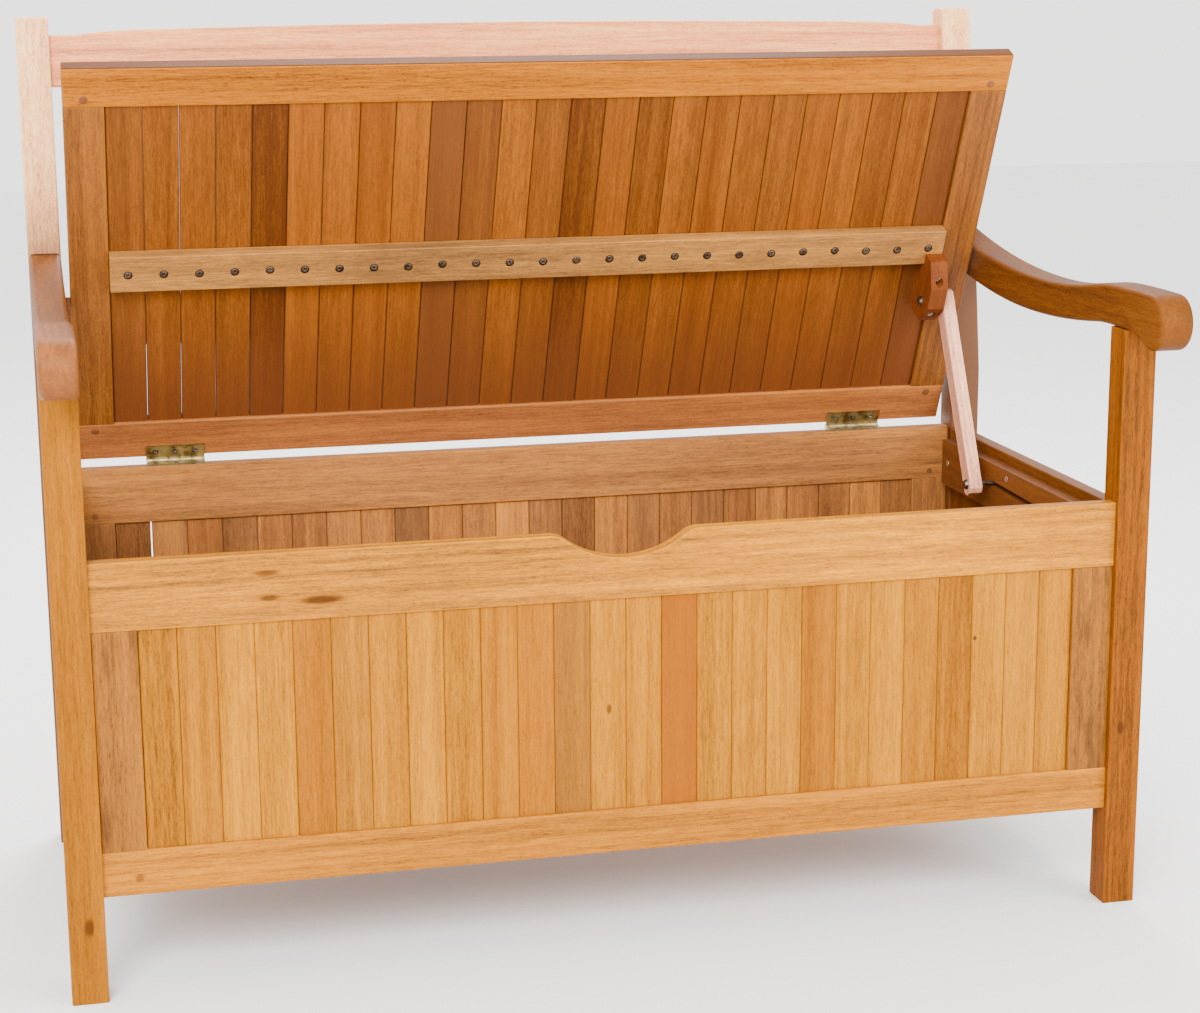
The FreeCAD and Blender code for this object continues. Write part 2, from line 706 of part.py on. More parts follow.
def arm_outline():
    """The side view of an arm, all lines and tangent arcs: dips, level over the leg, and the nose."""
    top = arm_seat + arm_front_thickness
    under_turn, under_radius = ogee(arm_under_level, arm_under_dip, arm_under_drop, arm_under_radius)
    top_turn, top_radius = ogee(arm_top_level, arm_top_dip, arm_top_drop, arm_top_radius)
    rear_bottom_y = post_y + slope_y(arm_rear_bottom)
    rear_top_y = post_y + slope_y(arm_rear_top)
    under_dip_z = arm_seat - arm_under_drop
    top_dip_z = top - arm_top_drop
    under_run = rear_bottom_y - front_y - arm_under_dip
    under_rise = arm_rear_bottom - under_dip_z
    top_run = rear_top_y - front_y - arm_top_dip
    top_rise = arm_rear_top - top_dip_z
    nose_y = front_y - nose_reach + nose_radius
    nose_z = top - nose_radius
    points = [
        (front_y - nose_cove, arm_seat),
        (front_y + arm_under_level, arm_seat),
        (front_y + arm_under_level + arm_under_radius * sin(under_turn),
         arm_seat - arm_under_radius * (1 - cos(under_turn))),
        (front_y + arm_under_dip, under_dip_z),
        (rear_bottom_y, arm_rear_bottom),
        (rear_top_y, arm_rear_top),
        (front_y + arm_top_dip, top_dip_z),
        (front_y + arm_top_level + arm_top_radius * sin(top_turn),
         top - arm_top_radius * (1 - cos(top_turn))),
        (front_y + arm_top_level, top),
        (nose_y, top),
        (nose_y - nose_radius, nose_z),
        (nose_y + nose_radius * sin(nose_chin), nose_z - nose_radius * cos(nose_chin)),
    ]
    arcs = {
        1: (arm_under_radius, True),
        2: (under_radius, False),
        3: ((under_run * under_run + under_rise * under_rise) / (under_rise * 2), False),
        5: ((top_run * top_run + top_rise * top_rise) / (top_rise * 2), True),
        6: (top_radius, True),
        7: (arm_top_radius, False),
        9: (nose_radius, False),
        10: (nose_radius, False),
        11: (cove_radius, True),
    }
    return points, arcs


for side, hand in zip((-1, 1), names):
    name = "arm_" + hand
    points, arcs = arm_outline()
    base = padded(name + "_blank", "YZ_Plane", points, leg_side, arcs)
    settle(base, span(side, leg_inner, half_width)[0], 0, 0)
    body = cut(name + "_body", base, [leg_tenon(name + "_mortise", side)])
    keep(name, fuse(name, [body, arm_tenon(name + "_tenon", side)]))


# Back rest: crest rail, lower rail and slats, all leaning with the posts

def back_rail(name, base, height):
    """A back rail's board with its end tenons."""
    return fuse(name + "_blank", [base] + tenons(name + "_tenon", board_thickness / 2, 0, height))


def back_groove(name, z0, z1):
    v = (board_thickness - slat_thickness) / 2
    reach = back_slat_pitch * (back_slat_count - 1) / 2 + back_slat_width / 2
    return box(name + "_groove", -reach, reach, v, v + slat_thickness, z0, z1)


knee_x = leg_inner - crest_knee_inset
flat_x = leg_inner - crest_flat
knee_z = crest_end_height + crest_knee_rise
crown_rise = crest_rise - crest_knee_rise
crown_radius = (knee_x * knee_x + crown_rise * crown_rise) / (crown_rise * 2)
crest_outline = [(-leg_inner, 0), (leg_inner, 0), (leg_inner, crest_end_height), (flat_x, crest_end_height),
                 (knee_x, knee_z), (-knee_x, knee_z), (-flat_x, crest_end_height),
                 (-leg_inner, crest_end_height)]
crest = padded("crest_rail_board", "XZ_Plane", crest_outline, board_thickness,
               {3: (crest_end_radius, False), 4: (crown_radius, False), 5: (crest_end_radius, False)})
settle(crest, 0, board_thickness, 0)
crest_blank = back_rail("crest_rail", crest, crest_end_height)
crest_rail = cut("crest_rail", crest_blank, [back_groove("crest_rail", 0, groove_depth)])
keep("crest_rail", raked(crest_rail, 0, back_v, crest_bottom))
lower_board = box("lower_back_rail_board", -leg_inner, leg_inner, 0, board_thickness, 0,
                  lower_back_rail_height)
lower_blank = back_rail("lower_back_rail", lower_board, lower_back_rail_height)
lower_rail = cut("lower_back_rail", lower_blank,
                 [back_groove("lower_back_rail", lower_back_rail_height - groove_depth,
                              lower_back_rail_height)])
keep("lower_back_rail", raked(lower_rail, 0, back_v, lower_back_rail_bottom))
back_slat_bottom = lower_back_rail_bottom + lower_back_rail_height - slat_tongue
back_slats = padded("back_slats", "XY_Plane", slat_profile(back_slat_width, slat_thickness),
                    crest_bottom + slat_tongue - back_slat_bottom)
row_of(back_slats, "back_slats", "X_Axis", back_slat_pitch, back_slat_count)
keep("back_slats", raked(back_slats, -back_slat_pitch * (back_slat_count - 1) / 2 - back_slat_width / 2,
                         back_v + (board_thickness - slat_thickness) / 2, back_slat_bottom))


# Lid. Its pieces are drawn closed round the hinge axis, forward along -Y, and swung open together.

def swing(item):
    """Carry a piece drawn round the hinge axis to the open lid; the item has no place of its own yet."""
    item.Placement = FreeCAD.Placement(V(), FreeCAD.Rotation(V(1, 0, 0), -1))
    bind(item, "Placement.Rotation.Angle", -lid_angle)
    bind(item, "Placement.Base.y", hinge_y)
    bind(item, "Placement.Base.z", hinge_z)
    return item


def lid_box(name, x0, x1, u0, u1, w0, w1):
    """A box by its distances in front of the hinge axis and above it."""
    return box(name, x0, x1, -plain(u1), -plain(u0), w0, w1)


lid_top_w = lid_w + board_thickness
lid_middle_w = lid_w + board_thickness / 2
lid_rails = (("lid_rear_rail", lid_edge, lid_inner_rear, 1), ("lid_front_rail", lid_inner_front,
                                                              lid_edge + lid_depth, -1))
for name, u0, u1, inward in lid_rails:
    base = lid_box(name + "_blank", -lid_half, lid_half, u0, u1, lid_w, lid_top_w)
    edge = u1 if inward > 0 else u0
    deep = edge - groove_depth * inward
    low, high = (deep, edge) if inward > 0 else (edge, deep)
    half = slat_thickness / 2
    tools = [lid_box(name + "_groove", -lid_stile_inner, lid_stile_inner, low, high, lid_middle_w - half,
                     lid_middle_w + half)]
    deep = edge - stile_tenon_length * inward
    low, high = (deep, edge) if inward > 0 else (edge, deep)
    half = stile_tenon_thickness / 2
    for side, hand in zip((-1, 1), names):
        x0, x1 = span(side, lid_stile_inner + tenon_shoulder, lid_half - tenon_shoulder)
        tools.append(lid_box(name + "_mortise_" + hand, x0, x1, low, high, lid_middle_w - half,
                             lid_middle_w + half))
    keep(name, swing(cut(name, base, tools)))
for side, hand in zip((-1, 1), names):
    name = "lid_stile_" + hand
    x0, x1 = span(side, lid_stile_inner, lid_half)
    board = lid_box(name + "_board", x0, x1, lid_inner_rear, lid_inner_front, lid_w, lid_top_w)
    x0, x1 = span(side, lid_stile_inner + tenon_shoulder, lid_half - tenon_shoulder)
    half = stile_tenon_thickness / 2
    tongue = lid_box(name + "_tenon", x0, x1, lid_inner_rear - stile_tenon_length,
                     lid_inner_front + stile_tenon_length, lid_middle_w - half, lid_middle_w + half)
    keep(name, swing(fuse(name, [board, tongue])))

lid_slat_pitch = lid_stile_inner * 2 / lid_slat_count
lid_slat_width = lid_slat_pitch - lid_slat_gap
slat_body = padded("lid_slats_blank", "XZ_Plane", slat_profile(lid_slat_width, slat_thickness),
                   lid_inner_front - lid_inner_rear + slat_tongue * 2)
row_of(slat_body, "lid_slats_blank", "X_Axis", lid_slat_pitch, lid_slat_count)
settle(slat_body, lid_slat_gap / 2 - lid_stile_inner, slat_tongue - lid_inner_rear, slat_w)
keep("lid_slats", swing(group("lid_slats", [slat_body])))
batten = lid_box("lid_batten_board", -lid_stile_inner, lid_stile_inner, lid_edge + batten_place,
                 lid_edge + batten_place + batten_width, batten_w, slat_w)
keep("lid_batten", swing(group("lid_batten", [batten])))

# Lid stay: block under the lid, strut, bolts and guide board
block_outer = lid_stile_inner
block_inner = lid_stile_inner - block_width
strut_inner = block_outer + strut_gap
strut_outer = strut_inner + strut_thickness
block_slope = (block_length - block_nose) / 2


def shoulder_pockets(name):
    """The flat-bottomed pockets for the screws in the block's sloping shoulders."""
    x = (block_inner + block_outer) / 2
    level = lid_w - block_height + block_pocket_depth
    places = (block_place + block_pocket_rear, block_place + block_length - block_pocket_front)
    return [rod("%s_%d" % (name, number), "-Z", block_pocket_diameter / 2, block_pocket_depth, x,
                -lid_edge - u, level) for number, u in enumerate(places)]


block_u0 = lid_edge + block_place
block_u1 = block_u0 + block_length
batten_u = lid_edge + batten_place
low_w = lid_w - block_height
side_w = lid_w - block_side_height
block_outline = [(-block_u1, batten_w), (-block_u1, side_w), (-block_u1 + block_slope, low_w),
                 (-block_u0 - block_slope, low_w), (-block_u0, side_w), (-block_u0, slat_w),
                 (-batten_u, slat_w), (-batten_u, batten_w)]
block = padded("stay_block_blank", "YZ_Plane", block_outline, block_width)
settle(block, block_inner, 0, 0)
pivot_hole = rod("stay_block_bore", "X", bolt_diameter / 2, block_width, block_inner, -pivot_u, pivot_w)
keep("stay_block", swing(cut("stay_block", block, [pivot_hole] + shoulder_pockets("stay_block_pocket"))))


def domed_bolt(name, way_sign, radius, length, head_radius, head_height, x, y, z):
    """A shank with a low domed head at its start."""
    way = "X" if way_sign > 0 else "-X"
    back = "-X" if way_sign > 0 else "X"
    shank = rod(name + "_shank", way, radius, length, x, y, z)
    head = taper(name + "_head", back, head_radius, head_radius * 0.7, head_height, x, y, z)
    return [shank, head]


pivot_length = strut_outer - block_inner + washer_clearance
pivot_bolt = domed_bolt("stay_pivot_bolt", 1, bolt_diameter / 2, pivot_length, bolt_head_diameter / 2,
                        bolt_head_height, block_inner, -pivot_u, pivot_w)
nut = taper("stay_pivot_nut", "X", bolt_head_diameter / 2, bolt_head_diameter * 0.35, bolt_head_height,
            strut_outer + washer_clearance, -pivot_u, pivot_w)
keep("stay_pivot_bolt", swing(fuse("stay_pivot_bolt", pivot_bolt + [nut])))
washer = rod("stay_washer_disc", "X", washer_diameter / 2, strut_gap - washer_clearance, block_outer,
             -pivot_u, pivot_w)
washer_bore = rod("stay_washer_bore", "X", bolt_diameter / 2 + bolt_clearance, strut_gap, block_outer,
                  -pivot_u, pivot_w)
keep("stay_washer", swing(cut("stay_washer", washer, [washer_bore])))

pivot_y = hinge_y - pivot_u * cos(lid_angle) + pivot_w * sin(lid_angle)
pivot_z = hinge_z + pivot_u * sin(lid_angle) + pivot_w * cos(lid_angle)
strut_length = hinge_y - pivot_u - side_front_y - strut_front_gap
strut_angle = acos((pivot_z - slot_height) / strut_length)
closed_strut_angle = acos((hinge_z + pivot_w - slot_height) / strut_length)
stay_ratio = (closed_strut_angle - strut_angle) / lid_angle + 1


def prop(item):
    """Carry a piece drawn hanging from the strut's upper pivot to its place."""
    item.Placement = FreeCAD.Placement(V(), FreeCAD.Rotation(V(1, 0, 0), -1))
    bind(item, "Placement.Rotation.Angle", -strut_angle)
    bind(item, "Placement.Base.y", pivot_y)
    bind(item, "Placement.Base.z", pivot_z)
    return item


half = strut_width / 2
foot = -strut_length - strut_end
strut_outline = [(-half, foot + strut_clip), (-half + strut_clip, foot), (half - strut_clip, foot),
                 (half, foot + strut_clip), (half, strut_end - strut_clip), (half - strut_clip, strut_end),
                 (-half + strut_clip, strut_end), (-half, strut_end - strut_clip)]
strut = padded("stay_strut_blank", "YZ_Plane", strut_outline, strut_thickness)
settle(strut, strut_inner, 0, 0)
strut_bores = [
    rod("stay_strut_pivot_bore", "X", bolt_diameter / 2 + bolt_clearance, strut_thickness, strut_inner, 0, 0),
    rod("stay_strut_slide_bore", "X", slide_bolt_diameter / 2, strut_thickness, strut_inner, 0,
        -strut_length),
]
keep("stay_strut", prop(cut("stay_strut", strut, strut_bores)))
guide_inner = side_inner - guide_thickness
slide_shank = domed_bolt("stay_slide_bolt", 1, slide_bolt_diameter / 2,
                         guide_inner + guide_lip + slide_clearance * 2 - strut_inner,
                         bolt_head_diameter / 2, bolt_head_height, strut_inner, 0, -strut_length)
slide_head = rod("stay_slide_disc", "X", slide_head_diameter / 2, slide_head_height,
                 guide_inner + guide_lip + slide_clearance * 2, 0, -strut_length)
keep("stay_slide_bolt", prop(fuse("stay_slide_bolt", slide_shank + [slide_head])))


slot_steps = 12


def pin_path(first, last, steps):
    """Where the slide bolt stands between two shares of the lid's turn."""
    points = []
    for step in range(steps + 1):
        turn = math.radians(lid_angle.value) * (first + (last - first) * step / steps)
        arm_y = -pivot_u.value * math.cos(math.radians(lid_angle.value) - turn)
        arm_y += pivot_w.value * math.sin(math.radians(lid_angle.value) - turn)
        arm_z = pivot_u.value * math.sin(math.radians(lid_angle.value) - turn)
        arm_z += pivot_w.value * math.cos(math.radians(lid_angle.value) - turn)
        lean = math.radians(strut_angle.value) + (stay_ratio.value - 1) * turn
        points.append(V(0, hinge_y.value + arm_y - strut_length.value * math.sin(lean),
                        hinge_z.value + arm_z - strut_length.value * math.cos(lean)))
    return points


def ribbon(path, radius):
    """A flat strip along a path, as wide as the radius to both sides and round at both ends."""
    spline = Part.BSplineCurve()
    spline.interpolate(path)
    first, last = spline.FirstParameter, spline.LastParameter
    sides = [[], []]
    for step in range(len(path)):
        at = first + (last - first) * step / (len(path) - 1)
        tangent = V(*spline.tangent(at)[0])
        normal = V(0, -tangent.z, tangent.y).normalize()
        sides[0].append(spline.value(at) + normal * radius)
        sides[1].append(spline.value(at) - normal * radius)
    edges = []
    for line in sides:
        curve = Part.BSplineCurve()
        curve.interpolate(line)
        edges.append(curve.toShape())
    for index, at, way in ((0, first, -1), (-1, last, 1)):
        tip = spline.value(at) + V(*spline.tangent(at)[0]).normalize() * radius * way
        edges.append(Part.Arc(sides[0][index], tip, sides[1][index]).toShape())
    return Part.Face(Part.Wire(Part.__sortEdges__(edges)))


def slot_shape(radius, x0, length):
    """A slot along the bolt's path: an even track, and a seat as wide as the path's turn at its end."""
    track = pin_path(0, slot_track_share.value, slot_steps)
    track[0] = track[0] + (track[0] - track[1]).normalize() * slot_end_play.value
    seat = pin_path(slot_track_share.value, 1, slot_steps)
    chord = (seat[-1] - seat[0]).normalize()
    bulge = max((point - seat[0]).cross(chord).Length for point in seat)
    far = seat[-1] + chord * slot_end_play.value
    strips = [ribbon(track, radius), ribbon([seat[0], far], radius + bulge)]
    solids = [strip.extrude(V(length, 0, 0)).translated(V(x0, 0, 0)) for strip in strips]
    return solids[0].fuse(solids[1]).removeSplitter()


guide = box("stay_guide_board_blank", guide_inner, side_inner, side_front_y + guide_front_gap,
            side_rear_y - guide_rear_gap, guide_bottom, guide_bottom + guide_height)
slot = doc.addObject("Part::Feature", "stay_guide_slot")
slot.Shape = slot_shape(slide_bolt_diameter.value / 2 + slide_clearance.value, guide_inner.value,
                        guide_thickness.value)
track = doc.addObject("Part::Feature", "stay_guide_track")
track.Shape = slot_shape(slide_head_diameter.value / 2 + slide_clearance.value,
                         (guide_inner + guide_lip).value, (guide_thickness - guide_lip).value)
keep("stay_guide_board", cut("stay_guide_board", guide, [slot, track]))


# Hinges: two leaves with interleaved knuckles on a pin

def leaf(name, centre, own, sign):
    """A leaf round the hinge axis; sign lifts it above the axis for the lid or below for the box."""
    start = centre - hinge_length / 2
    step = hinge_length / knuckle_count
    near = hinge_leaf_gap / 2
    far = near + hinge_leaf
    w0, w1 = (near, far) if sign > 0 else (-far, -near)
    solids = [lid_box(name + "_plate", start, start + hinge_length, lid_edge, hinge_reach, w0, w1)]
    for number in own:
        x0 = start + step * number + knuckle_gap / 2
        x1 = start + step * (number + 1) - knuckle_gap / 2
        solids.append(lid_box("%s_tab_%d" % (name, number), x0, x1, 0, lid_edge, w0, w1))
        solids.append(rod("%s_knuckle_%d" % (name, number), "X", hinge_barrel_radius, x1 - x0, x0, 0, 0))
    tools = [rod(name + "_bore", "X", hinge_pin_radius + hinge_pin_clearance, hinge_length, start, 0, 0)]
    for number in (-1, 0, 1):
        tools.append(small_hole("%s_hole_%d" % (name, number + 1), hinge_hole_diameter / 2, hinge_leaf,
                                centre + hinge_hole_pitch * number, -hinge_hole_reach, w0))
    return cut(name, fuse(name + "_blank", solids), tools)


for side, hand in zip((-1, 1), names):
    centre = hinge_place * side
    name = "hinge_lid_leaf_" + hand
    keep(name, swing(leaf(name, centre, (1, 3), 1)))
    name = "hinge_box_leaf_" + hand
    item = leaf(name, centre, (0, 2, 4), -1)
    settle(item, 0, hinge_y, hinge_z)
    keep(name, item)
    name = "hinge_pin_" + hand
    keep(name, rod(name, "X", hinge_pin_radius, hinge_length, centre - hinge_length / 2, hinge_y, hinge_z))

doc.recompute()

# Checks, then one file for each piece
for item in doc.Objects:
    for state in item.State:
        if state in ("Invalid", "Error"):
            raise RuntimeError("%s is %s" % (item.Label, state))
os.makedirs("parts", exist_ok=True)
for name in sorted(parts):
    shape = parts[name].Shape
    if shape.isNull() or not shape.isValid() or not shape.Solids:
        raise RuntimeError("%s has no valid solid" % name)
for name in sorted(parts):
    parts[name].Shape.exportStep(os.path.join("parts", name + ".step"))
print("%d pieces written" % len(parts))
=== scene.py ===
import json
import logging
import math
from dataclasses import dataclass, replace
from enum import Enum

import bpy
import numpy as np
from mathutils import Matrix, Vector


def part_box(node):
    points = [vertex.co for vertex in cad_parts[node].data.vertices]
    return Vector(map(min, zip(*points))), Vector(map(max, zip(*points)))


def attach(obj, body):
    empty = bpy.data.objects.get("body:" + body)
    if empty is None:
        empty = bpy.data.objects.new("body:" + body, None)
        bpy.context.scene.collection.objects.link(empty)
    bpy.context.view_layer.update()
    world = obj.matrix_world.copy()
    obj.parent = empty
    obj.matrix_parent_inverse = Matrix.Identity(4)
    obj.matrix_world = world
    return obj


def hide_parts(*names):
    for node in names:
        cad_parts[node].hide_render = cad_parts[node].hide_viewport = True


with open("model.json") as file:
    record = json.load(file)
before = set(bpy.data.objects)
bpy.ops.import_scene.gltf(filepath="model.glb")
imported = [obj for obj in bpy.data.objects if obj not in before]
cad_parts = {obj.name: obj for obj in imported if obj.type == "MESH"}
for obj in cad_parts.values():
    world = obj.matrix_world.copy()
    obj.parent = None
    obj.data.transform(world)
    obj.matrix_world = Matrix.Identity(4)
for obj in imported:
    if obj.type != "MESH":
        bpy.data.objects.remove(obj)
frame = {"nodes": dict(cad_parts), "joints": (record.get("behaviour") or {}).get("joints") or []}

# A wooden settle bench whose slatted lid is propped open by a strut. Metres, +Z up, front along -Y.

log = logging.getLogger("settle_bench")
Array = np.ndarray
Colour = tuple[float, float, float]
Triple = tuple[float, float, float]

# The bench's two sides along X, and their names.
HANDS = ((-1, "left"), (1, "right"))
# A stile reaches this far into its rails, so that no seam shows light.
SEAM = 0.0004
# A side of an outline shorter than this share of the rim's radius belongs to a rounded corner.
SHORT_SIDE = 0.8
# How far along, across and through the log a board's middle may lie from the pith, in metres.
LOG_LENGTH = 4.0
LOG_SIDE = 0.04
LOG_DEPTH = (0.03, 0.10)
# A face belongs to an end when its normal is this close to the axis.
END_FACE = 0.8


class Lay(Enum):
    """The axis that a shape is carried along, or that its grain follows."""

    X = 0
    Y = 1
    Z = 2


class Slot(Enum):
    """The names of the record's material slots."""

    FRAME = "frame_wood"
    BOX = "box_wood"
    SLAT = "slat_wood"
    LID = "lid_wood"
    STAY = "stay_wood"
    STRUT = "strut_wood"
    STEEL = "screw_steel"


# Shapes


@dataclass(frozen=True)
class Place:
    """A frame turned about the X axis: the lid's, the back rest's, the strut's or the bench's own."""

    y: float = 0.0
    z: float = 0.0
    turn: float = 0.0

    def spin(self, vectors: Array) -> Array:
        """Turn an array of vectors: y' = y cos t - z sin t and z' = y sin t + z cos t.

        Args:
            vectors: an array whose last axis holds X, Y and Z.

        Returns:
            The turned vectors, as a new array.
        """
        cos, sin = math.cos(math.radians(self.turn)), math.sin(math.radians(self.turn))
        turned = vectors.copy()
        turned[..., 1] = cos * vectors[..., 1] - sin * vectors[..., 2]
        turned[..., 2] = sin * vectors[..., 1] + cos * vectors[..., 2]
        return turned

    def world(self, points: Array) -> Array:
        """Turn an array of points and move it to the frame's own origin."""
        return self.spin(points) + np.array([0.0, self.y, self.z])


@dataclass
class Shape:
    """Arrays of one surface: its points, shading normals, faces and what its finish reads."""

    points: Array
    normals: Array
    quads: Array
    caps: Array
    rim_highlight_and_shade: Array
    grain: Array | None = None
    tone: Array | None = None
    warmth: Array | None = None

    def rowed(self, shifts: Array) -> "Shape":
        """Repeat the surface at each shift.

        Args:
            shifts: one row of X, Y and Z for each copy.

        Returns:
            A surface with all the copies, in the shifts' order.
        """
        count, size = len(shifts), len(self.points)
        starts = np.arange(count)[:, None, None] * size
        return Shape(
            points=(self.points[None] + shifts[:, None]).reshape(-1, 3),
            normals=np.tile(self.normals, (count, 1)),
            quads=(self.quads[None] + starts).reshape(-1, 4),
            caps=(self.caps[None] + starts).reshape(-1, self.caps.shape[1]),
            rim_highlight_and_shade=np.tile(self.rim_highlight_and_shade, count),
        )


def quarter(count: int) -> Array:
    """Angles of a quarter circle, from the flat cap to the open side."""
    return np.linspace(0.0, math.pi / 2, count)


def carried(outline: Array, start: float, stop: float, lay: Lay, soft: float, steps: int = 4) -> Shape:
    """Carry a closed outline along an axis, with its two rims rounded.

    A point is outline - miter * soft * (1 - sin a) at the depth soft * (1 - cos a) from each end, where
    a runs over a quarter circle and the miter is the mean of the two sides' outward normals, made long
    enough to keep the sides parallel.

    Args:
        outline: anticlockwise points in the other two axes, taken in XYZ order.
        start: where the shape begins along the axis.
        stop: where it ends.
        lay: the axis.
        soft: the radius of the two rims.
        steps: how many rings each rim has.

    Returns:
        The surface, closed by a cap at each end.
    """
    after = np.roll(outline, -1, 0) - outline
    before = outline - np.roll(outline, 1, 0)
    reach_after = np.linalg.norm(after, axis=1, keepdims=True)
    reach_before = np.linalg.norm(before, axis=1, keepdims=True)
    out_after = np.stack([after[:, 1], -after[:, 0]], 1) / reach_after
    out_before = np.stack([before[:, 1], -before[:, 0]], 1) / reach_before
    miter = (out_after + out_before) / (1 + (out_after * out_before).sum(1, keepdims=True))
    shade = out_after * reach_after + out_before * reach_before
    shade /= np.linalg.norm(shade, axis=1, keepdims=True)
    bend = quarter(steps)
    inset = np.r_[soft * (1 - np.sin(bend)), soft * (1 - np.sin(bend[::-1]))]
    ahead = soft * (1 - np.cos(bend))
    depth = np.r_[start + ahead, stop - ahead[::-1]]
    tilt = np.r_[bend, bend[::-1]]
    facing = np.r_[-np.ones(steps), np.ones(steps)]
    count, rings = len(outline), steps * 2
    plane = [axis for axis in range(3) if axis != lay.value]
    points = np.empty((count, rings, 3))
    points[..., plane] = outline[:, None] - miter[:, None] * inset[None, :, None]
    points[..., lay.value] = depth
    normals = np.empty_like(points)
    normals[..., plane] = shade[:, None] * np.sin(tilt)[None, :, None]
    normals[..., lay.value] = facing * np.cos(tilt)
    # A mask that is 1 on the rounded rims and corners: the finish paints a highlight there, and on slats a
    # darker joint that is partly painted shade.
    round_corner = (np.maximum(reach_after, reach_before) < soft * SHORT_SIDE).astype(float)
    rim_highlight_and_shade = np.maximum(round_corner, np.sin(2 * tilt)[None, :] ** 2)
    j, k = np.meshgrid(np.arange(count), np.arange(rings - 1), indexing="ij")
    ahead_j = (j + 1) % count
    quads = np.stack([j * rings + k, ahead_j * rings + k, ahead_j * rings + k + 1, j * rings + k + 1], -1)
    quads = quads.reshape(-1, 4)
    first = np.arange(count) * rings
    last = first + rings - 1
    caps = np.stack([first[::-1], last])
    if lay is Lay.Y:
        quads = quads[:, ::-1]
        caps = np.stack([first, last[::-1]])
    return Shape(points.reshape(-1, 3), normals.reshape(-1, 3), quads, caps, rim_highlight_and_shade.reshape(-1))


def softened(corners: Array, reach: float, steps: int = 5) -> Array:
    """Round every corner of an outline by a quadratic curve from side to side.

    The curve of each corner is (1 - t)^2 A + 2 t (1 - t) P + t^2 B, where A and B lie a reach away from
    the corner P along its two sides.

    Args:
        corners: anticlockwise corners.
        reach: how far from the corner the rounding starts.
        steps: points for each corner.

    Returns:
        The rounded outline.
    """
    back = np.roll(corners, 1, 0) - corners
    on = np.roll(corners, -1, 0) - corners
    back = corners + back / np.linalg.norm(back, axis=1, keepdims=True) * reach
    on = corners + on / np.linalg.norm(on, axis=1, keepdims=True) * reach
    t = np.linspace(0.0, 1.0, steps)[None, :, None]
    curve = (1 - t) ** 2 * back[:, None] + 2 * t * (1 - t) * corners[:, None] + t**2 * on[:, None]
    return curve.reshape(-1, 2)


def bowed(start: Array, stop: Array, radius: float, hollow: bool, steps: int) -> Array:
    """Points of an arc between two corners, without the last.

    The centre lies square to the middle of the chord c, at the root of r^2 - (c / 2)^2 from it, and the
    arc of radius r sweeps 2 asin(c / 2r).

    Args:
        start: the first corner.
        stop: the second corner.
        radius: the arc's radius.
        hollow: True if the arc bends into an anticlockwise outline.
        steps: how many points.

    Returns:
        Points at equal angles, start included.
    """
    chord = stop - start
    length = float(np.linalg.norm(chord))
    side = np.array([-chord[1], chord[0]]) / length * (-1 if hollow else 1)
    centre = (start + stop) / 2 + side * math.sqrt(max(radius**2 - length**2 / 4, 0.0))
    first = math.atan2(*(start - centre)[::-1])
    sweep = 2 * math.asin(min(length / 2 / radius, 1.0)) * (-1 if hollow else 1)
    angles = first + sweep * np.arange(steps) / steps
    return centre + radius * np.stack([np.cos(angles), np.sin(angles)], 1)


def level_arc(run: float, rise: float) -> float:
    """The radius (run^2 + rise^2) / (2 rise) of an arc that starts level and climbs a rise over a run."""
    return (run**2 + rise**2) / (2 * rise)


def traced(corners: list[tuple[float, float]], arcs: dict[int, tuple[float, bool, int]]) -> Array:
    """An outline of straight sides and arcs.

    Args:
        corners: anticlockwise corners.
        arcs: number of a side to its radius, whether it is hollow, and its points.

    Returns:
        The outline's points.
    """
    spots = [np.array(corner) for corner in corners]
    parts = []
    for number, spot in enumerate(spots):
        if number in arcs:
            parts.append(bowed(spot, spots[(number + 1) % len(spots)], *arcs[number]))
        else:
            parts.append(spot[None])
    return np.concatenate(parts)


def beam(low: Triple, high: Triple, lay: Lay, soft: float = 0.0016, rim: float = 0.0008) -> Shape:
    """A straight board: a rounded rectangle carried along its length.

    Args:
        low: lowest corner.
        high: highest corner.
        lay: the axis of its length.
        soft: radius of the long edges.
        rim: radius of the end edges.

    Returns:
        The board's surface.
    """
    a, b = [axis for axis in range(3) if axis != lay.value]
    corners = np.array([(low[a], low[b]), (high[a], low[b]), (high[a], high[b]), (low[a], high[b])])
    return carried(softened(corners, soft), low[lay.value], high[lay.value], lay, rim)


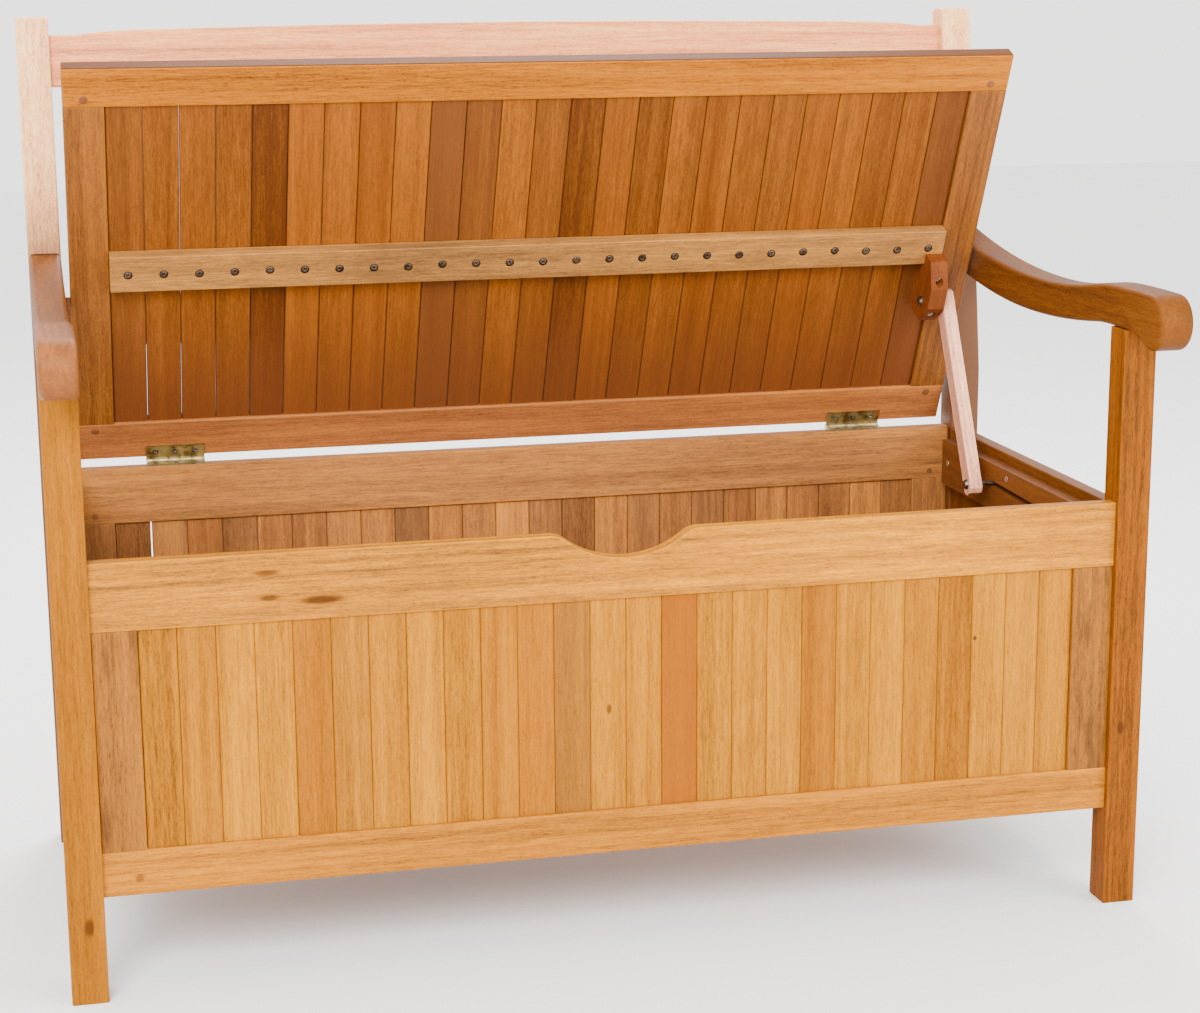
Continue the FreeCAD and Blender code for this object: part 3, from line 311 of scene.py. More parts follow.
def timber(
    shape: Shape,
    grain: Lay,
    seed: int,
    shifts: Array | None = None,
    tones: tuple[float, ...] = (0.0,),
    warmth: tuple[float, ...] = (0.0,),
    spread: float = 0.06,
) -> Shape:
    """Make boards of a shape, each cut from its own place in the log.

    The grain point of a board is its own point from its middle, with the axes in the order along,
    across and through, plus a random step along the log and a random place of the pith.

    Args:
        shape: one board.
        grain: the axis that the fibres follow.
        seed: seed of the board's random values.
        shifts: places of equal boards, or None for one board.
        tones: lightness of each board, from -1 to 1.
        warmth: each board's colour, from -1 for grey pink to 1 for orange.
        spread: how much the lightness and the warmth vary by chance.

    Returns:
        The surface with its grain, tone and warmth.
    """
    rng = np.random.default_rng(seed)
    shifts = np.zeros((1, 3)) if shifts is None else shifts
    count = len(shifts)
    low, high = shape.points.min(0), shape.points.max(0)
    others = [axis for axis in range(3) if axis != grain.value]
    others.sort(key=lambda axis: low[axis] - high[axis])
    own = (shape.points - (low + high) / 2)[:, [grain.value] + others]
    pith = np.stack([rng.uniform(-LOG_LENGTH, LOG_LENGTH, count), rng.uniform(-LOG_SIDE, LOG_SIDE, count),
                     rng.uniform(*LOG_DEPTH, count)], 1)
    turned = rng.choice([-1.0, 1.0], (count, 3))
    row = shape.rowed(shifts)
    row.grain = (own[None] * turned[:, None] + pith[:, None]).reshape(-1, 3)
    light = np.resize(np.array(tones), count) + rng.normal(0.0, spread, count)
    warm = np.resize(np.array(warmth), count) + rng.normal(0.0, spread, count)
    row.tone = np.repeat(light, len(shape.points))
    row.warmth = np.repeat(warm, len(shape.points))
    return row


@dataclass(frozen=True)
class Head:
    """A low dome with a skirt below its rim, for screw heads, plug ends and the dark discs painted as shade
    in the batten screws' countersinks.

    The height is rise * (1 - r^2) minus the cross recess, which is deepest where the smaller of |x| and
    |y| is near zero and ends at a share of the radius. The middle, arm, slope, end and skirt sizes are
    shares of the radius.
    """

    radius: float
    rise: float
    cross: float = 0.0
    rings: int = 4
    spokes: int = 16
    middle: float = 0.06
    arm: float = 0.17
    arm_slope: float = 0.06
    cross_end: float = 0.66
    end_slope: float = 0.10
    skirt: float = 0.35

    def shape(self) -> Shape:
        """Draw the head facing +Z, with its rim at the origin's level.

        Returns:
            The dome, its skirt and a flat face at each end.
        """
        part = np.linspace(self.middle, 1.0, self.rings)[:, None]
        angle = np.linspace(0.0, math.tau, self.spokes, endpoint=False)[None, :]
        x, y = part * np.cos(angle) * self.radius, part * np.sin(angle) * self.radius
        reach = self.arm * self.radius - np.minimum(abs(x), abs(y))
        arm = np.clip(reach / (self.arm_slope * self.radius), 0, 1)
        within = np.clip((self.cross_end - part) / self.end_slope, 0, 1)
        z = self.rise * (1 - part**2) - self.cross * arm * within
        top = np.stack([x, y, z * np.ones_like(x)], -1)
        skirt = top[-1:].copy()
        skirt[..., 2] -= self.radius * self.skirt
        points = np.concatenate([top, skirt]).reshape(-1, 3)
        i, j = np.meshgrid(np.arange(self.rings), np.arange(self.spokes), indexing="ij")
        ahead = (j + 1) % self.spokes
        corners = [i * self.spokes + j, (i + 1) * self.spokes + j, (i + 1) * self.spokes + ahead,
                   i * self.spokes + ahead]
        around = np.arange(self.spokes)
        caps = np.stack([around, around[::-1] + self.rings * self.spokes])
        normals = np.tile([0.0, 0.0, 1.0], (len(points), 1))
        return Shape(points, normals, np.stack(corners, -1).reshape(-1, 4), caps, np.zeros(len(points)))


BATTEN_SCREW = Head(radius=0.0034, rise=0.0003, cross=0.0010, rings=8, spokes=24)
BATTEN_SHADE_DISC = Head(radius=0.0048, rise=0.00005, rings=3, spokes=24)
HINGE_SCREW = Head(radius=0.0034, rise=0.0001, cross=0.0010, rings=8, spokes=24)
GUIDE_SCREW = Head(radius=0.0036, rise=0.0002, cross=0.0010, rings=8, spokes=24)
BLOCK_SCREW = Head(radius=0.0040, rise=0.0003, cross=0.0011, rings=8, spokes=24)
BOX_PEG = Head(radius=0.0035, rise=0.0005)
LID_PEG = Head(radius=0.0044, rise=0.0005)


def along(lay: Lay, places: Array) -> Array:
    """Shifts that carry copies of a board to places along an axis."""
    return np.outer(places, np.eye(3)[lay.value])


def faced(shape: Shape, facing: Lay, sign: int, spin: float = 0.0) -> Shape:
    """Turn a shape that faces +Z so that it faces along an axis.

    Args:
        shape: the surface.
        facing: the axis.
        sign: 1 or -1 along it.
        spin: turn about its own axis in degrees, made first.

    Returns:
        The turned surface.
    """
    goal = Vector([float(sign) if axis == facing.value else 0.0 for axis in range(3)])
    own = Matrix.Rotation(math.radians(spin), 3, "Z")
    matrix = np.array(Vector((0, 0, 1)).rotation_difference(goal).to_matrix() @ own)
    return replace(shape, points=shape.points @ matrix.T, normals=shape.normals @ matrix.T)


# Finishes


def tint(code: str) -> Colour:
    """A display colour such as "B87333" as linear light."""
    parts = [int(code[at : at + 2], 16) / 255 for at in (0, 2, 4)]
    return tuple(v / 12.92 if v <= 0.04045 else ((v + 0.055) / 1.055) ** 2.4 for v in parts)


class Wire:
    """A shader socket that takes part in Python's arithmetic by adding Math nodes."""

    def __init__(self, book: "Book", socket: bpy.types.NodeSocket) -> None:
        """Keep the socket and the book that it belongs to."""
        self.book = book
        self.socket = socket

    def _math(self, operation: str, *values: "Wire | float") -> "Wire":
        """Add one Math node and give its result."""
        return self.book.wire("ShaderNodeMath", {"operation": operation}, dict(enumerate(values)))

    def __add__(self, other: "Wire | float") -> "Wire":
        """Sum."""
        return self._math("ADD", self, other)

    def __radd__(self, other: float) -> "Wire":
        """Sum with a number first."""
        return self._math("ADD", other, self)

    def __sub__(self, other: "Wire | float") -> "Wire":
        """Difference."""
        return self._math("SUBTRACT", self, other)

    def __rsub__(self, other: float) -> "Wire":
        """Difference from a number."""
        return self._math("SUBTRACT", other, self)

    def __mul__(self, other: "Wire | float") -> "Wire":
        """Product."""
        return self._math("MULTIPLY", self, other)

    def __rmul__(self, other: float) -> "Wire":
        """Product with a number first."""
        return self._math("MULTIPLY", other, self)

    def __pow__(self, power: float) -> "Wire":
        """Power."""
        return self._math("POWER", self, power)

    def root(self) -> "Wire":
        """Square root."""
        return self._math("SQRT", self)

    def wave(self) -> "Wire":
        """Sine of the value in radians."""
        return self._math("SINE", self)

    def ramp(self, low: float, high: float) -> "Wire":
        """A smooth step from 0 at low to 1 at high."""
        sockets = {"Value": self, "From Min": low, "From Max": high}
        return self.book.wire("ShaderNodeMapRange", {"interpolation_type": "SMOOTHSTEP"}, sockets)


class Figure(Enum):
    """Noise in the wood: how fine it is along and across the grain, its detail and its roughness."""

    BEND = (1.1, 7.0, 2.0, 0.5)
    SHAKE = (6.0, 40.0, 2.0, 0.5)
    PATCH = (0.8, 14.0, 2.0, 0.5)
    CLOUD = (2.6, 9.0, 3.0, 0.55)
    STREAK = (1.5, 60.0, 5.0, 0.68)
    FIBRE = (34.0, 520.0, 4.0, 0.72)
    FLECK = (170.0, 760.0, 3.0, 0.7)
    BLOT = (7.0, 38.0, 4.0, 0.7)


# Where each of these starts to show and where it shows in full.
PATCH_RANGE = (0.35, 0.68)
PORE_RANGE = (0.56, 0.72)
BLOT_RANGE = (0.50, 0.68)
MARK_RANGE = (0.35, 1.0)
TARNISH_RANGE = (0.42, 0.68)
COOL_RANGE = (0.0, 1.4)
HOT_RANGE = (0.0, 1.6)


class Book:
    """The node tree of one material."""

    def __init__(self, name: str) -> None:
        """Start a material with a Principled shader.

        Args:
            name: the material's name.
        """
        self.material = bpy.data.materials.new(name)
        self.material.use_nodes = True
        self.tree = self.material.node_tree
        self.tree.nodes.clear()
        self.shader = self.node("ShaderNodeBsdfPrincipled")
        self.node("ShaderNodeOutputMaterial", {}, {"Surface": Wire(self, self.shader.outputs[0])})

    def node(self, kind: str, settings: dict | None = None, sockets: dict | None = None) -> bpy.types.Node:
        """Add a node.

        Args:
            kind: Blender's name of the node's type.
            settings: its own settings, and "stops" for a colour ramp, set before the sockets.
            sockets: values or wires of its inputs, by name or number.

        Returns:
            The node.
        """
        made = self.tree.nodes.new(kind)
        for name, value in (settings or {}).items():
            if name == "stops":
                ramp = made.color_ramp
                while len(ramp.elements) < len(value):
                    ramp.elements.new(0.5)
                for stop, (place, colour) in zip(ramp.elements, value):
                    stop.position = place
                    stop.color = (*colour, 1.0)
            else:
                setattr(made, name, value)
        for name, value in (sockets or {}).items():
            self.feed(made.inputs[name], value)
        return made

    def feed(self, socket: bpy.types.NodeSocket, value: "Wire | float | tuple") -> None:
        """Link a wire to an input, or set its value."""
        if isinstance(value, Wire):
            self.tree.links.new(value.socket, socket)
        elif isinstance(value, tuple) and len(value) == 3 and socket.type == "RGBA":
            socket.default_value = (*value, 1.0)
        else:
            socket.default_value = value

    def wire(self, kind: str, settings: dict | None = None, sockets: dict | None = None,
             output: int | str = 0) -> Wire:
        """Add a node and give one of its outputs."""
        return Wire(self, self.node(kind, settings, sockets).outputs[output])

    def mix(self, share: Wire | float, first: Wire | Colour, second: Wire | Colour) -> Wire:
        """Mix two colours."""
        return self.wire("ShaderNodeMix", {"data_type": "RGBA"}, {0: share, 6: first, 7: second}, 2)

    def noise(self, vector: Wire, stretch: Triple, detail: float = 2.0, rough: float = 0.5) -> Wire:
        """Make noise on a vector whose parts are first stretched.

        Args:
            vector: the point.
            stretch: what each of its three parts is multiplied by.
            detail: how many finer layers the noise has.
            rough: how strong the finer layers are.

        Returns:
            The noise, about 0.5 in the mean.
        """
        settings = {"operation": "MULTIPLY"}
        pulled = self.wire("ShaderNodeVectorMath", settings, {0: vector, 1: stretch})
        return self.wire("ShaderNodeTexNoise", {}, {"Vector": pulled, "Scale": 1.0, "Detail": detail,
                                                    "Roughness": rough})

    def figured(self, grain: Wire, figure: Figure) -> Wire:
        """One of the wood's noises on a board's grain points."""
        along, across, detail, rough = figure.value
        return self.noise(grain, (along, across, across), detail, rough)

    def spot(self) -> Wire:
        """The shaded point, in the object's own frame."""
        return self.wire("ShaderNodeTexCoord", {}, {}, "Object")

    def split(self, vector: Wire) -> tuple[Wire, Wire, Wire]:
        """The three parts of a vector."""
        parts = self.node("ShaderNodeSeparateXYZ", {}, {0: vector})
        return tuple(Wire(self, output) for output in parts.outputs)

    def bump(self, height: Wire, strength: float, distance: float) -> None:
        """Feed a height to the shader's normal."""
        sockets = {"Height": height, "Strength": strength, "Distance": distance}
        self.feed(self.shader.inputs["Normal"], self.wire("ShaderNodeBump", {}, sockets))


@dataclass(frozen=True)
class Mark:
    """A knot or dark fleck on a board: its middle and half sizes on the bench, in metres."""

    middle: Triple
    half: Triple
    depth: float = 0.8


@dataclass(frozen=True)
class Timber:
    """Oiled hardwood: its colours, how strong its figure is, and what marks it.

    The colours run from shade to light, then a greyer and a warmer one for single boards. Below a pair of
    heights another colour, the warmer one if none is named, takes over by its share: painted shade, darker
    towards the bottom.
    """

    name: str
    dark: str
    body: str
    light: str
    cool: str
    hot: str
    gloss: float = 0.50
    streak_gloss: float = 0.22
    pore_gloss: float = 0.10
    sheen: float = 0.12
    figure: float = 1.1
    fibres: float = 1.15
    clouds: float = 0.5
    board_range: float = 0.42
    rings: float = 0.16
    ring_pitch: float = 0.0065
    ring_crispness: float = 2.2
    sway: float = 0.05
    swell: float = 0.012
    ripple: float = 0.0016
    pores: float = 0.6
    fibre_relief: float = 0.5
    streak_relief: float = 0.3
    pore_relief: float = 0.8
    ring_relief: float = 0.25
    relief: float = 0.45
    relief_depth: float = 0.00035
    # Rounded rims: above 0 paints a highlight on them; below 0 darkens them, partly as dark finish in the
    # joints and partly as painted shade in the grooves between boards.
    edge: float = 0.25
    stain: float = 0.0
    end: float = 0.45
    knot: str = "3C1C08"
    knot_fray: float = 0.9
    shade_heights: tuple[float, float] | None = None
    shade_tint: str = ""
    shade_share: float = 1.0
    marks: tuple[Mark, ...] = ()

    def made(self) -> bpy.types.Material:
        """The finish as a material.

        The growth rings are sin(2 pi r / pitch), where r is the distance of the grain point from the
        pith, bent by slow noise. Streaks, fibres and pores are noise stretched along the grain.

        Returns:
            The material, made once for each finish.
        """
        if self.name in bpy.data.materials:
            return bpy.data.materials[self.name]
        book = Book(self.name)
        grain, board = (book.wire("ShaderNodeAttribute", {"attribute_name": name}, {}, "Vector")
                        for name in ("grain", "board"))
        end = book.wire("ShaderNodeAttribute", {"attribute_name": "end"}, {}, "Fac")
        tone, warmth, rim_highlight_and_shade = book.split(board)
        _, across, through = book.split(grain)
        bend, shake = (book.figured(grain, figure) - 0.5 for figure in (Figure.BEND, Figure.SHAKE))
        sideways = across + bend * self.sway
        radius = (sideways * sideways + through * through).root() + bend * self.swell + shake * self.ripple
        ring = (0.5 + 0.5 * (radius * (math.tau / self.ring_pitch)).wave()) ** self.ring_crispness
        patch = book.figured(grain, Figure.PATCH).ramp(*PATCH_RANGE)
        cloud, streak, fibre, fleck = (book.figured(grain, figure) for figure in (
            Figure.CLOUD, Figure.STREAK, Figure.FIBRE, Figure.FLECK))
        pore = fleck.ramp(*PORE_RANGE)
        light = (0.5 + (streak - 0.5) * self.figure + (fibre - 0.5) * self.fibres
                 + (fleck - 0.5) * self.fibres + (cloud - 0.5) * self.clouds
                 - ring * patch * self.rings + tone * self.board_range)
        stops = [(0.0, tint(self.dark)), (0.5, tint(self.body)), (1.0, tint(self.light))]
        colour = book.wire("ShaderNodeValToRGB", {"stops": stops}, {0: light})
        colour = book.mix((0.0 - warmth).ramp(*COOL_RANGE), colour, tint(self.cool))
        colour = book.mix(warmth.ramp(*HOT_RANGE), colour, tint(self.hot))
        colour = book.mix(pore * self.pores, colour, tint(self.dark))
        if self.stain:
            blot = book.figured(grain, Figure.BLOT).ramp(*BLOT_RANGE)
            colour = book.mix(blot * self.stain, colour, tint(self.dark))
        # Painted highlight on rounded rims where edge is above 0; below 0 the rims darken, partly as dark
        # finish in the joints and partly as painted shade.
        edge = tint(self.light if self.edge > 0 else self.dark)
        colour = book.mix(rim_highlight_and_shade * abs(self.edge), colour, edge)
        colour = book.mix(end * self.end, colour, tint(self.dark))
        # Painted shade: the piece darkens towards the bottom, below the given heights.
        if self.shade_heights:
            height = book.split(book.spot())[2]
            share = (1.0 - height.ramp(*self.shade_heights)) * self.shade_share
            colour = book.mix(share, colour, tint(self.shade_tint or self.hot))
        for mark in self.marks:
            share = self.marked(book, mark, streak)
            colour = book.mix(share, colour, tint(self.knot))
        book.feed(book.shader.inputs["Base Color"], colour)
        rough = self.gloss + (streak - 0.5) * self.streak_gloss + pore * self.pore_gloss
        book.feed(book.shader.inputs["Roughness"], rough)
        book.shader.inputs["Specular IOR Level"].default_value = self.sheen
        raised = (fibre * self.fibre_relief + streak * self.streak_relief - pore * self.pore_relief
                  - ring * patch * self.ring_relief)
        book.bump(raised, self.relief, self.relief_depth)
        return book.material

    def marked(self, book: Book, mark: Mark, streak: Wire) -> Wire:
        """The share of a mark at a point.

        Args:
            book: the material.
            mark: the knot or fleck.
            streak: noise that frays its edge.

        Returns:
            1 in the middle of the mark, 0 outside it.
        """
        away = book.wire("ShaderNodeVectorMath", {"operation": "SUBTRACT"}, {0: book.spot(), 1: mark.middle})
        scale = tuple(1 / half for half in mark.half)
        away = book.wire("ShaderNodeVectorMath", {"operation": "MULTIPLY"}, {0: away, 1: scale})
        reach = book.wire("ShaderNodeVectorMath", {"operation": "LENGTH"}, {0: away}, "Value")
        return (1.0 - (reach + (streak - 0.5) * self.knot_fray).ramp(*MARK_RANGE)) * mark.depth


@dataclass(frozen=True)
class Metal:
    """Plated metal with a little tarnish. Its clouds and specks are given by how many fit in a metre."""

    name: str
    bright: str
    dull: str
    roughness: float = 0.3
    cloud_gloss: float = 0.22
    clouds_per_metre: float = 90.0
    specks_per_metre: float = 420.0
    relief: float = 0.15
    relief_depth: float = 0.0002

    def made(self) -> bpy.types.Material:
        """The finish as a material.

        Returns:
            The material, made once for each finish.
        """
        if self.name in bpy.data.materials:
            return bpy.data.materials[self.name]
        book = Book(self.name)
        spot = book.spot()
        cloud = book.noise(spot, (self.clouds_per_metre,) * 3, 4.0, 0.6)
        grime = book.noise(spot, (self.specks_per_metre,) * 3)
        book.feed(book.shader.inputs["Base Color"],
                  book.mix(cloud.ramp(*TARNISH_RANGE), tint(self.bright), tint(self.dull)))
        book.feed(book.shader.inputs["Roughness"], self.roughness + cloud * self.cloud_gloss)
        book.shader.inputs["Metallic"].default_value = 1.0
        book.bump(grime, self.relief, self.relief_depth)
        return book.material


LEG = Timber("golden_leg", "4D2B04", "834D03", "A36403", "704A12", "7A4603", sheen=0.05)
AMBER_LEG = Timber("amber_leg", "48260A", "7E4306", "9E5806", "6C4418", "764004", sheen=0.05)
SLAT = Timber("golden_slat", "5A3304", "925A02", "B87803", "7E4E20", "8A4703", edge=-0.85, sheen=0.05)
WEATHERED = Timber("weathered_stile", "3F240B", "824D10", "A46610", "6C4424", "824808", edge=-0.5,
                   stain=0.65)
SCOOPED = Timber("honey_scooped_rail", "5F3C1A", "A5660B", "DD8F0B", "98642C", "99550D", sheen=0.06)
BOTTOM = Timber("honey_bottom_rail", "5D3912", "9D5E0A", "C47C0A", "8B5C1C", "8D500C", sheen=0.06)
# end=0.9 darkens its end grain and, as painted shade, its long front edge face.
LID_FRONT = Timber("amber_lid_front_rail", "4A240C", "9A5708", "BD7108", "855319", "8C4A08", sheen=0.06,
                   end=0.9)
LID_SIDE = Timber("amber_lid_stile", "4C2A0F", "774416", "9E5E17", "704721", "7A400F")
# The slats darken towards the lid's lower end: painted shade.
LID_SLAT = Timber("amber_lid_slat", "4A2408", "6E3C0E", "98540F", "65391A", "8C4408", edge=-0.8, sheen=0.08,
                  shade_heights=(0.48, 0.66), shade_tint="66361A", shade_share=0.7)
LID_REAR = Timber("amber_lid_rear_rail", "5C361D", "93562A", "C1742C", "8B5737", "924F1D")
CREST = Timber("rose_crest", "955B3A", "E48950", "FDC073", "D89167", "D37B32", sheen=0.3, pores=0.35)
# Its hot colour is the darker golden brown that the posts turn to towards their feet: painted shade.
POST = Timber("rose_post", "9B6947", "F3A96F", "FDE99D", "E0A982", "5C3209", sheen=0.3, pores=0.35,
              shade_heights=(0.60, 0.78))
ARM_LEFT = Timber("umber_left_arm", "3F230E", "673A19", "925422", "5F3B1E", "613310")
ARM_RIGHT = Timber("amber_right_arm", "3E1F0B", "5E330F", "7C4812", "58351A", "66360C", sheen=0.05)
WALL_RAIL = Timber("umber_wall_rail", "5D3B21", "935C2D", "C27C30", "885D3A", "8F5520")
WALL_SLAT = Timber("umber_wall_slat", "59361B", "8C562A", "C67C2C", "7C5433", "9B541B", edge=-0.75)
SIDE = Timber("amber_side_wall", "412208", "64370E", "884E13", "5B3712", "69350B", edge=-0.4)
BACK = Timber("honey_back_rest", "603A20", "9C643A", "C68C5A", "8C664A", "9C5C2E")
BATTEN = Timber("ashen_batten", "573C22", "90602E", "BD8234", "80613A", "915D24", stain=0.45)
BLOCK = Timber("russet_block", "48200A", "6A330D", "874615", "603411", "6E310B")
GUIDE = Timber("umber_guide_board", "43240E", "673A17", "834C1E", "5D3A1B", "6A3713")
STRUT = Timber("blush_strut", "865D4B", "E0997A", "FDD1A9", "C79582", "BD8156", pores=0.35)
# Near-black colour of the discs painted as shade in the batten screws' countersinks.
COUNTERSINK_SHADE = Timber("burnt_countersink", "1C0E04", "2C1808", "3C240F", "2C1C10", "30180A")
BRASS = Metal("yellow_zinc", "B4A478", "66522C", roughness=0.22)
STEEL = Metal("dull_screw_steel", "74665A", "30261F", roughness=0.36)
ZINC = Metal("bright_screw_zinc", "D8D0C2", "8A8074", roughness=0.34)


# Pieces


def placed(name: str, data: bpy.types.ID) -> bpy.types.Object:
    """Add an object to the scene.

    Args:
        name: its name.
        data: its mesh, light or camera.

    Returns:
        The object.
    """
    item = bpy.data.objects.new(name, data)
    bpy.context.scene.collection.objects.link(item)
    return item


def grained(mesh: bpy.types.Mesh, shapes: list[Shape]) -> None:
    """Write what the wood's finish reads as a mesh's point attributes.

    Args:
        mesh: the mesh, with the shapes' points in their order.
        shapes: surfaces with grain, tone and warmth.
    """
    grain = np.concatenate([shape.grain for shape in shapes])
    board = np.concatenate([np.stack([shape.tone, shape.warmth, shape.rim_highlight_and_shade], 1) for shape in shapes])
    for name, vectors in (("grain", grain), ("board", board)):
        mesh.attributes.new(name, "FLOAT_VECTOR", "POINT").data.foreach_set("vector", vectors.ravel())


def built(
    name: str,
    shapes: list[Shape],
    finish: Timber | Metal,
    body: str,
    place: Place = Place(),
    stands_for: tuple[str, ...] = (),
    ends: tuple[Lay, ...] = (),
) -> bpy.types.Object:
    """Make one piece of the bench from its surfaces.

    Args:
        name: the piece's name.
        shapes: its surfaces, in the place's frame.
        finish: its finish.
        body: the body it rides on.
        place: the frame it is built in.
        stands_for: CAD nodes that it replaces.
        ends: the axes whose faces are darkened: end grain, and long faces given painted shade.

    Returns:
        The object, with its place in its mesh.
    """
    sizes = np.array([len(shape.points) for shape in shapes])
    starts = np.r_[0, np.cumsum(sizes)[:-1]]
    points = np.concatenate([shape.points for shape in shapes])
    normals = np.concatenate([shape.normals for shape in shapes])
    faces = []
    for start, shape in zip(starts, shapes):
        faces += (shape.quads + start).tolist()
        faces += (shape.caps + start).tolist()
    mesh = bpy.data.meshes.new(name)
    mesh.from_pydata(place.world(points), [], faces)
    facing = np.zeros(len(faces) * 3)
    mesh.polygons.foreach_get("normal", facing)
    turned = facing.reshape(-1, 3)
    if ends:
        axes = place.spin(np.eye(3)[[lay.value for lay in ends]])
        end = (abs(turned @ axes.T).max(1) > END_FACE).astype(np.float32)
        mesh.attributes.new("end", "FLOAT", "FACE").data.foreach_set("value", end)
    if shapes[0].grain is not None:
        grained(mesh, shapes)
    mesh.polygons.foreach_set("use_smooth", np.ones(len(faces), bool))
    if np.ptp(normals, axis=0).max() > 0:
        mesh.normals_split_custom_set_from_vertices(place.spin(normals).tolist())
    mesh.materials.append(finish.made())
    mesh.validate()
    piece = placed(name, mesh)
    if stands_for:
        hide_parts(*stands_for)
    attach(piece, body)
    log.info("%s: %d faces on %s", name, len(faces), body)
    return piece


def box_of(node: str) -> tuple[Array, Array]:
    """A CAD node's lowest and highest corners as arrays."""
    low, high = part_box(node)
    return np.array(low), np.array(high)


def bearing(name: str) -> Triple:
    """A joint's place in Y and Z, and its largest turn in degrees.

    Args:
        name: the joint.

    Returns:
        Its Y, its Z and its largest turn.
    """
    joint = [item for item in frame["joints"] if item["name"] == name][0]
    return joint["pos_m"][1], joint["pos_m"][2], max(abs(turn) for turn in joint["range_deg"])


@dataclass
class Arm:
    """A scrolled arm: tangent arcs below and on top, and a round nose with a hollow chin.

    The places along the arm are measured from the front of the leg, the heights from the floor.
    Two arcs that join a level to a dip turn by 2 atan(drop / run), and their radii add up to the run
    over the sine of that turn.
    """

    front: float
    post_y: float
    bend: float
    rake: float
    seat: float = 0.610
    top: float = 0.6525
    overhang: float = 0.080
    nose: float = 0.028
    chin: float = 22.0
    chin_arc: float = 0.090
    chin_back: float = 0.012
    pad: float = 0.045
    low_run: float = 0.195
    low_drop: float = 0.012
    low_arc: float = 0.300
    level: float = 0.020
    top_run: float = 0.194
    top_drop: float = 0.016
    top_arc: float = 0.395
    crown_arc: float = 2.0
    rear_low: float = 0.627
    rear_top: float = 0.668
    soft: float = 0.0055
    rim_steps: int = 6

    def outline(self) -> Array:
        """Draw the arm's side view.

        Returns:
            Its points in Y and Z, anticlockwise from the chin's foot.
        """
        slope = math.tan(math.radians(self.rake))
        rear_low, rear_top = (
            (self.post_y + slope * (z - self.bend), z) for z in (self.rear_low, self.rear_top))
        pad, level = self.front + self.pad, self.front + self.level
        low_turn = 2 * math.atan(self.low_drop / self.low_run)
        top_turn = 2 * math.atan(self.top_drop / self.top_run)
        low_dip = (pad + self.low_run, self.seat - self.low_drop)
        top_dip = (level + self.top_run, self.top - self.top_drop)
        nose_y, nose_z = self.front - self.overhang + self.nose, self.top - self.nose
        chin = math.radians(self.chin)
        corners = [
            (self.front - self.chin_back, self.seat),
            (pad, self.seat),
            (pad + self.low_arc * math.sin(low_turn), self.seat - self.low_arc * (1 - math.cos(low_turn))),
            low_dip,
            rear_low,
            rear_top,
            top_dip,
            (level + self.top_arc * math.sin(top_turn), self.top - self.top_arc * (1 - math.cos(top_turn))),
            (level, self.top),
            (nose_y, self.top),
            (nose_y - self.nose, nose_z),
            (nose_y + self.nose * math.sin(chin), nose_z - self.nose * math.cos(chin)),
        ]
        return traced(corners, {
            1: (self.low_arc, True, 8),
            2: (self.low_run / math.sin(low_turn) - self.low_arc, False, 24),
            3: (level_arc(rear_low[0] - low_dip[0], rear_low[1] - low_dip[1]), False, 36),
            5: (level_arc(rear_top[0] - top_dip[0], rear_top[1] - top_dip[1]), True, 40),
            6: (self.top_run / math.sin(top_turn) - self.top_arc, True, 20),
            7: (self.top_arc, False, 12),
            8: (self.crown_arc, False, 10),
            9: (self.nose, False, 14),
            10: (self.nose, False, 16),
            11: (self.chin_arc, True, 8),
        })


